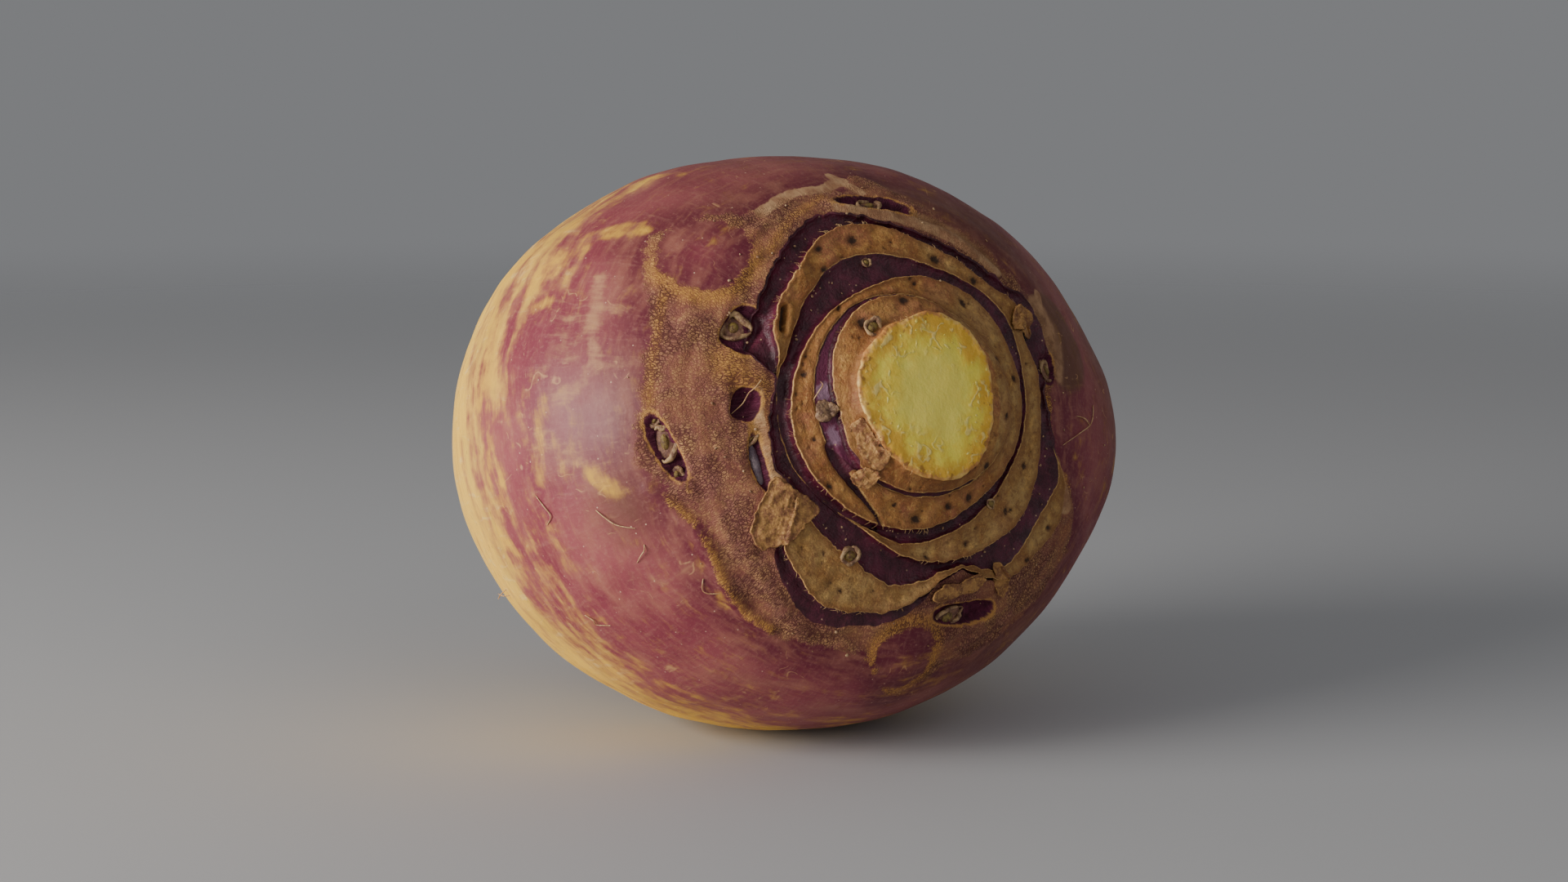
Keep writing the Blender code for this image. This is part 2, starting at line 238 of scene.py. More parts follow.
section = Section(CUT_HEIGHT)
section.to(0.55 * cut_line, CUT_HEIGHT, 9)
section.to(cut_line - 0.8, CUT_HEIGHT, 13)
section.to(cut_line - 0.1, CUT_HEIGHT - 0.1, 3)
section.to(cut_line, CUT_HEIGHT - 0.5)
cut_rows = len(section.reaches) - 1
section.to(cut_line - 0.1, CUT_FOOT + 0.6, 2, gap=-0.2, side=1)
section.to(cut_line + 0.35, CUT_FOOT, 2, side=1)
section.to(ledge_line - 0.5, LEDGE_HEIGHT + 0.05, 9)
section.to(ledge_line, LEDGE_HEIGHT - 0.2, 2)
section.to(ledge_line - 0.15, LEDGE_FOOT + 0.3, 3, gap=-0.1, side=-1)
section.to(ledge_line + 0.2, LEDGE_FOOT, side=-1)
for (edge, rim), (edge_height, rim_height, floor, missing) in zip(scar_lines, RING_HEIGHTS):
    start, start_height = section.reaches[-1], section.heights[-1]
    edge = np.maximum(edge, start + 0.2)
    width = np.maximum(rim - edge, 0)
    there = smooth_step(width, 0.1, 1.8)
    dish = 0.22 * smooth_step(width, 2, 5)
    edge_level = missing + there * (edge_height - missing)
    rim_level = missing + there * (rim_height - missing)
    section.to(start + 0.5 * (edge - start), start_height + 0.15 * (edge_level - start_height), 4)
    section.to(start + 0.88 * (edge - start), start_height + 0.6 * (edge_level - start_height), 3)
    section.to(edge, edge_level, 2)
    section.to(edge + np.minimum(0.5, width * 0.2), edge_level + 0.12 * there, 2)
    section.to(edge + width * 0.5, (edge_level + rim_level) / 2 - dish, 6)
    section.to(rim - np.minimum(0.7, width * 0.25), rim_level - 0.08 * there, 6)
    section.to(rim - np.minimum(0.12, width * 0.1), rim_level + 0.12 * there, 2)
    section.to(rim, rim_level - 0.05 * there)
    beyond = there * floor + (1 - there) * np.minimum(missing, rim_level)
    section.to(rim - 0.2 * there, rim_level + 0.45 * (beyond - rim_level), 2, gap=-0.12, side=-1)
    section.to(rim - 0.25 * there, rim_level + 0.85 * (beyond - rim_level), 2, gap=-0.05, side=-1)
    section.to(rim + 0.3 * there, beyond, side=-1)
section.to(crescent_line, 0, 5)
crown_rows = len(section.reaches) - 1

TURN_REACH, FLANK_REACH, TAIL_REACH = 66, 100, 158
crown_end = section.reaches[-1]
for share in np.linspace(0, 1, 50)[1:] ** 1.2:
    section.to(crown_end + (TURN_REACH - crown_end) * share, 0)
section.to(np.full(COLUMNS, FLANK_REACH), 0, 26)
section.to(np.full(COLUMNS, TAIL_REACH), 0, 16)
section.to(np.full(COLUMNS, end_reach), 0, 10)
reach, height = np.array(section.reaches), np.array(section.heights)
side = np.array(section.sides)[:, None]
angle = np.broadcast_to(angles, reach.shape)


def ease_rows(values):
    """Round the corners between rows."""
    eased = values.copy()
    eased[1:-1] = values[1:-1] * 0.5 + (values[:-2] + values[2:]) * 0.25
    return eased


reach, height = ease_rows(reach), ease_rows(height)
radius = np.interp(reach, outline[0], outline[1])

# Sharp-edged hollows that the buds sit in: each a spot, how square it is and how deep.
HOLLOWS = [(152.5, 34.1, 4.4, 3.5, 12, 3.2, 1.5), (176, 32.4, 3, 2.5, 20, 2.8, 1.4),
    (195, 32.6, 5.6, 1.25, 8, 2.2, 1.6), (184.5, 47, 6.6, 2, -14, 2.2, 1.7),
    (86.5, 41.2, 8.6, 1.9, 7, 2.2, 1.4), (284.5, 42.6, 8, 2.4, 16, 2.4, 1.7),
    (8, 34.9, 3.2, 1.8, 20, 2.4, 1.4)]


def in_spot(spot):
    """Place in a spot as shares of its half width and half length, from its angle, reach, half
    width across, half length along the outline and turn."""
    centre, centre_reach, half_across, half_along, turn = spot[:5]
    across, along = np.radians(angle_between(angle, centre)) * radius, reach - centre_reach
    lean = math.radians(turn)
    return ((across * math.cos(lean) + along * math.sin(lean)) / half_across,
            (along * math.cos(lean) - across * math.sin(lean)) / half_along)


def inside_patch(spot):
    """Distance in mm inside the border of a spot with how square it is, less than 0 outside it."""
    (u, v), square = np.abs(in_spot(spot)), spot[5]
    return (1 - (u ** square + v ** square) ** (1 / square)) * min(spot[2], spot[3])


def soft_spot(spot):
    """1 at the middle of a spot, falling away smoothly round it."""
    u, v = in_spot(spot)
    return np.exp(-0.5 * (u * u + v * v))


hollow = np.full(reach.shape, -OUTSIDE)
for spot in HOLLOWS:
    inside = inside_patch(spot)
    hollow = np.maximum(hollow, inside)
    height -= spot[6] * smooth_step(inside, -0.05, 0.55) * (1 - smooth_step(-inside, 0, 0.3))

# Swellings, dips and side furrows: each a spot and its height.
LUMPS = [(137, 46, 8, 6, 20, 1), (269, 51, 5, 7, 0, 1), (60, 43, 16, 2.4, 0, 0.8),
    (211, 34.5, 4.6, 4, 0, 0.5), (78, 150, 4, 16, 4, -1.6), (256, 152, 4, 15, -5, -1.7),
    (20, 146, 12, 7, 0, 0.9), (165, 140, 13, 8, 10, 0.9), (318, 150, 10, 7, 0, -0.8)]
for spot in LUMPS:
    height += spot[5] * soft_spot(spot)


def away_from(way):
    """Distance in mm from an open line, given as angle and reach in turn."""
    nearest = np.full(reach.shape, FAR_OFF)
    points = list(zip(way[::2], way[1::2]))
    for (first, first_reach), (last, last_reach) in zip(points, points[1:]):
        middle = float(np.interp((first_reach + last_reach) / 2, outline[0], outline[1]))
        x = np.radians(angle_between(angle, first)) * middle
        y = reach - first_reach
        leg_x, leg_y = math.radians(angle_between(last, first)) * middle, last_reach - first_reach
        share = np.clip((x * leg_x + y * leg_y) / (leg_x ** 2 + leg_y ** 2), 0, 1)
        nearest = np.minimum(nearest, np.hypot(x - share * leg_x, y - share * leg_y))
    return nearest


def strokes(*marks):
    """The most of some lines that fall smoothly to 0 at their sides: each is a strength, a width
    and then the angles and reaches that it goes through."""
    return np.maximum.reduce([
        strength * (1 - smooth_step(away_from(way), 0.1 * width, 0.8 * width))
        for strength, width, *way in marks])


def spots(*marks):
    """The most of some soft spots, each as a strength and then the spot."""
    return np.maximum.reduce([strength * soft_spot(spot) for strength, *spot in marks])


# Distances inside the crown's tissues, which the finishes read.
scar = np.minimum(reach - cut_line, ledge_line - reach)
for edge, rim in scar_lines:
    scar = np.maximum(scar, np.minimum(reach - edge, rim - reach))
strip = np.minimum(reach - ledge_line, scar_lines[0][0] - reach)
cork = line_reach(CORK_EDGE, angle) - reach
# Islands of bare skin within the cork, as spots with how square each is.
ISLANDS = [(137, 46.8, 8.4, 8.6, -10, 2.2), (267.5, 50.2, 6.8, 8.6, -4, 2.2), (352, 45, 11, 13, 0, 2.6)]
island_edge = np.full(reach.shape, FAR_OFF)
for island in ISLANDS:
    inside = inside_patch(island)
    cork = np.minimum(cork, -inside)
    island_edge = np.minimum(island_edge, np.abs(inside))

# Furrows where one scar laps over the next, and the dark crack beyond the top scar.
LAP_FURROW = (200, 20.4, 206, 20.6, 212, 20.6, 218, 20.7, 225, 21, 231, 21.4, 236, 22, 241, 22.8, 246, 24.6)
lap = away_from(LAP_FURROW) - 0.25 - 0.6 * smooth_step(angle_between(angle, 242), 0, -34)
scar = np.where(reach < scar_lines[0][1] + 0.2, np.minimum(scar, lap), scar)
scar = np.where(side == 0, scar, 0.6 * side)
# Painted shadow: the dark stem colour is laid over the first scar's end at angles 200 to 213, where it lies
# in shade; the height is not changed.
scar -= strokes((3, 2, 200, 19.6, 205, 19.4, 209, 19.1, 213, 18.9))
height -= 1.1 * (1 - smooth_step(lap, -0.3, 0.4))
TOP_CRACK = (78, 39.9, 68, 39.4, 56, 39, 45, 38.2, 38, 37.6)
crack = away_from(TOP_CRACK)
height -= 0.9 * (1 - smooth_step(crack, 0.1, 1))
height += strokes((0.7, 3.2, 99, 41.4, 86, 38.2, 69, 36.9, 52, 36.2, 43, 36.2))

# Marks on the skin and the cork: dusty tan scuffs, yellow streaks, brown stains, painted shade on the top, a
# painted pale highlight on the skin near angle 176, lilac spots on the strip, ochre cork, cork cracked in
# long ladders, and smooth husk.
dust = np.maximum(
    strokes((1, 3.2, 149, 61.2, 159, 59.2, 166, 57.8, 170, 60.4, 172, 64), (0.6, 2.8, 156, 59.2, 155, 53),
            (0.55, 2.6, 166, 57.4, 166, 50.3), (0.6, 5, 178, 69, 182, 64, 186, 59.5),
            (0.5, 1.6, 208, 59.2, 211, 57.7, 210, 52.1)),
    spots((0.55, 161, 63, 5, 3.5, 0), (0.35, 30, 60, 10, 7, 0), (0.45, 75, 66, 12, 4, 10),
          (0.4, 240, 72, 14, 5, -10)))
gilt = strokes(
    (1, 2.2, 140, 70, 137.5, 64.5, 135.5, 60.2), (1.2, 2.4, 140, 65.4, 136.6, 58.6),
    (1, 5, 145, 95, 141, 87, 136, 79), (1, 6, 150, 77, 146, 73.6, 143, 70),
    (1, 6.5, 147, 95, 157, 87, 165, 84.5, 169, 88), (1, 2.4, 155, 73.6, 154, 70.2),
    (0.8, 2.6, 176, 84, 184, 87), (0.8, 2.6, 182, 81, 187, 85), (0.75, 2.6, 172, 68.2, 179, 69.2, 185, 71),
    (0.9, 3.2, 186, 60.2, 190, 57.4), (0.9, 4, 191, 91, 196, 87, 203, 85.5), (0.6, 1.8, 209, 79, 213, 74),
    (0.8, 3, 124, 88, 121, 76, 118, 68), (0.7, 2.6, 228, 80, 236, 77), (0.8, 2, 206, 49.2, 212, 50.4),
    (0.8, 2, 219, 51.8, 222, 52.4))
# Painted shade: the wide spot at angle 96 and reach 64 darkens the top of the skin; the other spots, the
# patch and the line along the crack are brown stains.
brown_and_shade = np.maximum.reduce([
    spots((0.75, 194, 57.5, 5, 4, 0), (0.4, 96, 64, 34, 14, 0), (0.75, 52, 47, 22, 7, 0),
          (0.7, 5, 58, 16, 7, 0), (0.6, 300, 62, 16, 8, 0)),
    smooth_step(inside_patch((15, 42, 10.5, 7.2, 0, 2.6)), -0.6, 1.2),
    0.8 * (1 - smooth_step(crack, 0.3, 1.3))])
# Painted highlight: the first spot paints a pale lilac sheen on the skin near angle 176; the other two are
# lilac membrane colour on the strip beside the ledge.
sheen_and_membrane = spots((1, 176, 59, 5.5, 6.5, 0), (1, 172, 19.4, 1.6, 1.4, 0), (1, 196, 19, 1.6, 1.2, 0))
CORK_RIDGE = (192, 51.6, 198, 48.4, 204, 47.2, 211, 47.8, 218, 49.7, 226, 51.5, 233, 51)
gold = np.maximum(
    0.9 * (1 - smooth_step(island_edge, 0.2, 2.8)) * (0.2 + 0.8 * smooth_step(angle - reach, 82, 96)),
    strokes((1, 2, *CORK_RIDGE), (0.8, 6, 163, 36, 168, 33.5, 171, 30.5),
            (0.9, 2.6, 172, 30.4, 189, 30.4, 204, 31), (0.7, 1.8, 150, 48.8, 160, 47.8, 174, 48.2),
            (0.6, 2, 100, 44, 112, 41.4, 126, 38)))
ladder = strokes((1, 9, 188, 48.6, 202, 45.6, 212, 45.4, 220, 47, 230, 47.5),
                 (1, 5, 116, 44, 106, 45, 97, 45, 90, 47))
height += strokes((0.55, 2.4, *CORK_RIDGE)) - strokes((0.4, 3, 192, 49.2, 203, 45.4, 213, 46, 226, 49))
cream = (reach - line_reach(CREAM_EDGE, angle)) / CREAM_FADE
husk = strokes(
    (1, 3.4, 98, 40.6, 86, 38, 69, 37, 52, 36.4, 43, 36.4), (1, 3, 118, 45.4, 108, 47, 98, 46.4, 91, 48.6),
    (1, 2.2, 88, 44.2, 92, 48, 93, 51), (1, 2.4, 28, 42.6, 22, 38.4), (1, 3.6, 340, 34, 334, 38.6, 330, 43),
    (0.9, 2.6, 172, 30.4, 189, 30.6, 204, 31.2))

# Dark spots where the leaves' veins went in: angle, reach and size, then many small ones.
VEINS = [(51, 22.6, 0.8), (79, 22.3, 0.5), (164, 22.8, 0.5), (126, 22.1, 0.5), (282, 20.2, 0.6),
    (296, 20.5, 0.7), (262, 21.7, 0.9), (215, 24.2, 0.6), (194, 22.5, 0.4), (248, 19.9, 0.5),
    (49, 29.6, 0.6), (67, 29.4, 0.9), (100, 32.3, 0.9), (114, 33, 0.6), (117, 29, 0.6), (311, 28.6, 0.7),
    (313, 29.4, 0.5), (331, 27.5, 0.6), (288, 28.3, 0.5), (269, 28.7, 0.5), (92, 18.3, 0.8), (7, 23.2, 0.6),
    (19, 19.8, 0.7), (313, 18, 0.7), (125, 17.7, 0.9), (238, 37.6, 0.5), (242, 37.9, 0.5), (252, 36, 0.4),
    (231, 33.5, 0.4), (321, 40.5, 0.6), (309, 40.5, 0.5), (216, 13.9, 0.8), (347, 18.8, 0.6)]
draw = random.Random(5)
SMALL_VEINS = 64
small_veins = []
while len(small_veins) < SMALL_VEINS:
    place = (draw.uniform(0, 360), draw.uniform(15.5, 42))
    column = int(place[0] / 360 * COLUMNS)
    row = int(np.abs(reach[:, column] - place[1]).argmin())
    if scar[row, column] > 0.5:
        small_veins.append((*place, draw.uniform(0.14, 0.34)))
stain = np.zeros(reach.shape)
for place, place_reach, size in VEINS + small_veins:
    spot = soft_spot((place, place_reach, size * 1.1, size * draw.uniform(0.6, 1), draw.uniform(-50, 50)))
    stain = np.maximum(stain, spot * (0.6 + 0.4 * min(size / 0.6, 1)))

# An eye-shaped slit with a thick rim, and a nub, at the narrow end of the second scar.
eye = away_from((140.5, 29.6, 144, 28.9, 148.1, 28.2))
height += 0.5 * (1 - smooth_step(np.abs(eye - 1.3), 0.2, 0.9)) - 0.7 * (1 - smooth_step(eye, 0.1, 0.7))
stain = np.maximum(stain, 0.9 * (1 - smooth_step(eye, 0.15, 0.8)))
height += 0.9 * soft_spot((126, 30.8, 1.3, 1.5, 0))

# Relief: broad lumps, wrinkles in the scars, fine grain in the cork, and the torn cut.
cut_share = reach / cut_line
place = surface(reach, angle, height)
on_cut = np.arange(len(reach))[:, None] <= cut_rows
in_scar = smooth_step(scar, -0.1, 0.5)
in_cork = smooth_step(cork, -0.5, 1) * (reach > crown_end)
wrap = np.stack([place[..., 0] * 0.25, place[..., 1] * 0.25, reach], -1)
height += 0.35 * rough(place, 17) * smooth_step(reach, 34, 60)
height += 0.10 * rough(place, 6, 3)
height += in_scar * (0.12 * rough(place, 2.4, 5) + 0.06 * rough(wrap, 0.8, 9) + 0.04 * rough(place, 0.9))
height += in_cork * (0.14 * rough(place, 3, 2) + 0.07 * rough(place, 1.1, 4)
                     + 0.30 * rough(wrap, 1.9, 3))
height -= 0.5 * stain * in_scar
rim_tear = smooth_step(cut_share, 0.84, 0.97) * on_cut
height += on_cut * 0.10 * rough(place, 3, 8) * smooth_step(reach, 1, 5)
height += rim_tear * (0.24 * rough(place, 1.9, 6) + 0.10 * rough(place, 0.7, 1))
height[0] = height[1].mean()


def as_mesh(name, shape):
    """A mesh from a finished bmesh."""
    mesh = bpy.data.meshes.new(name)
    shape.to_mesh(mesh)
    shape.free()
    return mesh


# The vertices: a chain of rows spun about the axis, then each one set on the surface.
chain_count = len(reach)
body = bmesh.new()
row_layer = body.verts.layers.int.new("row")
chain = [body.verts.new((0 if row in (0, chain_count - 1) else 1, 0, -0.01 * row))
         for row in range(chain_count)]
for row, vert in enumerate(chain):
    vert[row_layer] = row
edges = [body.edges.new(pair) for pair in zip(chain, chain[1:])]
bmesh.ops.spin(body, geom=chain + edges, cent=(0, 0, 0), axis=(0, 0, 1), angle=math.tau,
               steps=COLUMNS, use_merge=True, use_duplicate=False)
bmesh.ops.remove_doubles(body, verts=body.verts, dist=1e-5)
bmesh.ops.recalc_face_normals(body, faces=body.faces)
swede_mesh = as_mesh("swede", body)

vert_count = len(swede_mesh.vertices)
spun = np.zeros(vert_count * 3, np.float32)
swede_mesh.vertices.foreach_get("co", spun)
spun = spun.reshape(-1, 3)
rows = np.zeros(vert_count, np.int32)
swede_mesh.attributes["row"].data.foreach_get("value", rows)
columns = np.rint(np.degrees(np.arctan2(spun[:, 1], spun[:, 0])) * COLUMNS / 360).astype(int) % COLUMNS
swede_mesh.attributes.remove(swede_mesh.attributes["row"])

lie = np.array([(0, -math.sin(TILT), math.cos(TILT)), (1, 0, 0), (0, math.cos(TILT), math.sin(TILT))])
plain = surface(reach, angle, height * (reach < UPRIGHT_TO)) @ lie.T
low, high = plain.reshape(-1, 3).min(0), plain.reshape(-1, 3).max(0)
stand = np.array([-(low[0] + high[0]) / 2, -(low[1] + high[1]) / 2, -low[2] - FLAT_DEPTH])


def lay(places):
    """Places in mm on the swede's own axes, laid down and stood on the surface, in metres."""
    return (places @ lie.T + stand) * MM


laid = lay(surface(reach, angle, height))
laid[..., 2] = np.maximum(laid[..., 2], 0)
swede_mesh.vertices.foreach_set("co", laid[rows, columns].astype(np.float32).ravel())


def keep_on_verts(name, values):
    """Store a field of the section on the swede's vertices."""
    kind, slot = ("FLOAT_VECTOR", "vector") if values.ndim == 3 else ("FLOAT", "value")
    layer = swede_mesh.attributes.new(name, kind, "POINT")
    layer.data.foreach_set(slot, values[rows, columns].astype(np.float32).ravel())


# The fields: the place on an even cylinder, how warm the tan of each ring is, and all the others.
heading = np.radians(angle)
around = np.stack([GIRTH_RADIUS * np.cos(heading), GIRTH_RADIUS * np.sin(heading), reach], -1)
ring_tone = np.select(
    [reach < ledge_line + 0.1, reach < scar_lines[0][1] + 0.2, reach < scar_lines[1][1] + 0.2],
    [0.75, 0.85, 0.30 + 0.65 * np.exp(-(angle_between(angle, 115) / 45) ** 2)], 0.25)
ring_tone = ring_tone * (1 - 0.7 * smooth_step(np.abs(angle_between(angle, 10)), 75, 30) * (reach > 17))
FIELDS = {"scar": scar, "strip": strip, "cork": cork, "hollow": hollow, "cream": cream, "stain": stain,
    "cut_share": cut_share, "around": around, "tone": ring_tone, "marks": np.stack([dust, gilt, brown_and_shade], -1),
    "tints_and_sheen": np.stack([sheen_and_membrane, gold, ladder], -1), "husk": husk}
for name, values in FIELDS.items():
    keep_on_verts(name, values)

face_count = len(swede_mesh.polygons)
starts = np.zeros(face_count, np.int32)
swede_mesh.polygons.foreach_get("loop_start", starts)
corners = np.zeros(len(swede_mesh.loops), np.int32)
swede_mesh.loops.foreach_get("vertex_index", corners)
outer_row = np.maximum.reduceat(rows[corners], starts)
finish_index = np.searchsorted((cut_rows, crown_rows), outer_row)
swede_mesh.polygons.foreach_set("material_index", finish_index.astype(np.int32))
swede_mesh.shade_smooth()
swede_mesh.update()


class Field:
    """One output of a material's nodes. Arithmetic on it adds Math nodes."""

    def __init__(self, finish, socket):
        self.finish, self.socket = finish, socket

    def math(self, operation, first, second):
        return self.finish.node("Math", {0: first, 1: second}, operation=operation)

    def __add__(self, other):
        return self.math("ADD", self, other)

    def __sub__(self, other):
        return self.math("SUBTRACT", self, other)

    def __rsub__(self, other):
        return self.math("SUBTRACT", other, self)

    def __mul__(self, other):
        return self.math("MULTIPLY", self, other)

    __radd__, __rmul__ = __add__, __mul__

    def most(self, other):
        return self.math("MAXIMUM", self, other)

    def least(self, other):
        return self.math("MINIMUM", self, other)

    def vector(self, operation, *others, output=0):
        """Arithmetic on vectors, this one first."""
        return self.finish.node("VectorMath", dict(enumerate((self, *others))), output, operation=operation)

    def parts(self):
        """The three numbers of a vector."""
        return [self.finish.node("SeparateXYZ", {"Vector": self}, part) for part in range(3)]

    def step(self, low, high):
        """0 below low, 1 above high, and a smooth rise between."""
        return self.finish.node("MapRange", {"Value": self, "From Min": low, "From Max": high},
                                interpolation_type="SMOOTHSTEP")

    def mix(self, under, over):
        """One colour over another, this field being the share."""
        return self.finish.node("Mix", {0: self, 6: shade(under), 7: shade(over)}, 2, data_type="RGBA")

    def coats(self, *coats):
        """This colour under others, each given as its share and then the colour."""
        under = self
        for share, *over in coats:
            under = share.mix(under, over[0] if len(over) == 1 else over)
        return under

    def sized(self, sizes):
        """Coordinates divided by a size in mm, one for all axes or one for each."""
        return self.vector("DIVIDE", sizes if len(sizes) == 3 else sizes * 3)

    def lumps(self, *sizes, detail=3, roughness=0.6, output="Fac"):
        """Noise with lumps of the given size."""
        return self.finish.node("TexNoise", {"Vector": self.sized(sizes), "Scale": 1, "Detail": detail,
                                             "Roughness": roughness}, output)

    def swells(self, *sizes, output="Fac"):
        """Smoother noise with lumps of the given size."""
        return self.lumps(*sizes, detail=2, roughness=0.5, output=output)

    def cells(self, *sizes, feature="F1"):
        """Distance from the middle of the nearest cell, for cells of the given size."""
        return self.finish.node("TexVoronoi", {"Vector": self.sized(sizes), "Scale": 1}, "Distance",
                                feature=feature)

    def gaps(self, *sizes):
        """Distance from the border between two cells."""
        return self.cells(*sizes, feature="DISTANCE_TO_EDGE")

    def warped(self, size, amount):
        """Coordinates bent to and fro by an amount in mm, over lumps of the given size."""
        sway = self.swells(size, output="Color")
        return self.vector("ADD", sway.vector("MULTIPLY_ADD", (amount,) * 3, (-amount / 2,) * 3))

    def bump(self, distance, strength):
        """Shading of this height, for a relief of a distance in mm."""
        return self.finish.node("Bump", {"Height": self, "Distance": distance * MM, "Strength": strength})


class Finish:
    """A material under construction, with the swede's own fields at hand."""

    def __init__(self, name):
        self.material = bpy.data.materials.new(name)
        self.material.use_nodes = True
        self.tree = self.material.node_tree

    def plug(self, inputs, sockets):
        """Link or set each named input."""
        for name, value in sockets.items():
            if isinstance(value, Field):
                self.tree.links.new(value.socket, inputs[name])
            else:
                inputs[name].default_value = value

    def node(self, kind, sockets, output=0, **settings):
        """Add a node with its settings, and with a value or a link for each named socket."""
        made = self.tree.nodes.new("ShaderNode" + kind)
        for name, value in settings.items():
            setattr(made, name, value)
        self.plug(made.inputs, sockets)
        return Field(self, made.outputs[output])

    def stored(self, name, output="Fac"):
        """A field of the swede's, stored on its vertices."""
        return self.node("Attribute", {}, output, attribute_name=name)

    def place(self):
        """Place on the object in mm."""
        return self.node("TexCoord", {}, "Object").vector("MULTIPLY", (1 / MM,) * 3)

    def feed(self, sockets):
        """Link or set the shader's sockets, which ends the material."""
        self.plug(self.tree.nodes["Principled BSDF"].inputs, sockets)
        return self.material


def shade(tint):
    """A colour as it is, or from its display values of 0 to 255."""
    if isinstance(tint, Field):
        return tint
    return (*(((value / 255 + 0.055) / 1.055) ** 2.4 for value in tint), 1)


def cut_flesh():
    """Wet yellow flesh where the neck was sliced, ochre and torn towards its rim."""
    finish = Finish("cut_flesh")
    at, out = finish.place(), finish.stored("cut_share")
    cloud, fine = at.lumps(4.5), at.lumps(0.8)
    torn = at.warped(4, 2.5).swells(3.8)
    torn = torn.step(0.45, 0.49) * torn.step(0.55, 0.51) * cloud.step(0.49, 0.58)
    torn = torn * out.step(0.40, 0.60) * out.step(0.98, 0.88)
    flesh = cloud.step(0.35, 0.65).mix((255, 232, 84), (252, 216, 66)).coats(
        ((out + (cloud - 0.5) * 0.5).step(0.66, 0.40) * 0.75, 255, 236, 110),
        ((out + (cloud - 0.5) * 0.7).step(0.62, 0.90) * 0.85, 226, 170, 48),
        (fine.step(0.54, 0.72) * 0.35, 246, 226, 130),
        (torn * 0.45, 254, 244, 168),
        ((out + (fine - 0.5) * 0.16).step(0.925, 0.975) * 0.8,
         cloud.step(0.42, 0.58).mix((232, 190, 112), (186, 118, 72))),
        ((at.swells(1.4) + out * 0.5).step(1.08, 1.16) * 0.6, 150, 92, 46))
    bumps = at.lumps(0.35) * 0.2 + cloud * 1.6 + fine * 0.6 + torn * 0.8
    return finish.feed({"Base Color": flesh, "Roughness": 0.36 + fine * 0.25, "Subsurface Weight": 0.12,
                        "Subsurface Radius": (1, 0.6, 0.2), "Subsurface Scale": 0.002,
                        "Specular IOR Level": 0.5, "Normal": bumps.bump(0.35, 0.5)})


def leaf_scars():
    """Dried tan scars with dark vein spots, and the dark glossy stem in the grooves between them."""
    finish = Finish("leaf_scars")
    at, around = finish.place(), finish.stored("around", "Vector")
    scar, stain, tone, strip = map(finish.stored, ("scar", "stain", "tone", "strip"))
    sheen_and_membrane = finish.stored("tints_and_sheen", "Vector").parts()[0]
    cloud, fine = at.lumps(4), at.lumps(0.5, roughness=0.65)
    blotch = at.warped(3, 1.5).lumps(1.6, detail=4, roughness=0.66)
    streak = around.warped(5, 1.4).lumps(5, 5, 0.45)
    combed = around.lumps(0.5, 0.5, 5, detail=2)

    pale = cloud.step(0.3, 0.7).mix((178, 142, 86), (150, 106, 54))
    tan = cloud.step(0.3, 0.7).mix((180, 128, 66), (150, 92, 44))
    # Painted highlight: a pale line along both borders of each scar.
    rim_highlight = scar + (fine - 0.5) * 0.3
    rim_highlight = rim_highlight.step(-0.02, 0.06) * rim_highlight.step(0.26, 0.14) * (0.2 + blotch.step(0.38, 0.6) * 0.6)
    tissue = (tone + (cloud - 0.5) * 0.7).step(0.2, 0.8).mix(pale, tan).coats(
        (at.swells(7).step(0.5, 0.66) * tone * 0.5, 178, 106, 84),
        (blotch.step(0.49, 0.64) * 0.55, 120, 74, 42),
        (blotch.step(0.46, 0.32) * 0.45, 216, 168, 92),
        (streak.step(0.50, 0.72) * 0.4, 112, 70, 38),
        (fine.step(0.52, 0.68) * 0.4, 210, 168, 98),
        (fine.step(0.42, 0.28) * 0.35, 104, 64, 36),
        # Painted shade: darker brown within about 1.5 mm of each scar's borders.
        ((scar + (blotch - 0.5) * 1.6).step(1.5, 0.2) * 0.55, 124, 74, 38),
        # Painted highlight along the scars' borders.
        (rim_highlight, 222, 178, 108),
        ((stain + (fine - 0.5) * 0.7 + (blotch - 0.5) * 0.8).step(0.12, 0.75) * 0.75, 96, 56, 30),
        ((stain + (fine - 0.5)).step(0.5, 0.85) * 0.85, 44, 26, 16))

    membrane = sheen_and_membrane * strip.step(0.1, 0.4) + (blotch - 0.5) * 1.4
    stem = cloud.step(0.35, 0.7).mix((62, 16, 30), (98, 32, 54)).coats(
        (combed.step(0.5, 0.75) * 0.3, 122, 60, 66),
        (blotch.step(0.5, 0.62) * 0.35, 44, 14, 22),
        (strip.step(0.15, 0.5) * 0.75, 122, 44, 80),
        (membrane.step(0.35, 0.75) * 0.75, 176, 138, 160),
        (at.cells(1.4).step(0.15, 0.08) * cloud.step(0.48, 0.6), 196, 162, 128))

    shown = (scar + (fine - 0.5) * 0.16).step(-0.04, 0.06)
    bumps = fine * 0.6 + blotch * 0.8 + streak * 0.5
    return finish.feed({"Base Color": shown.mix(stem, tissue), "Roughness": 0.32 + shown * 0.28 + fine * 0.12,
                        "Specular IOR Level": 0.45, "Normal": bumps.bump(0.4, 0.8)})


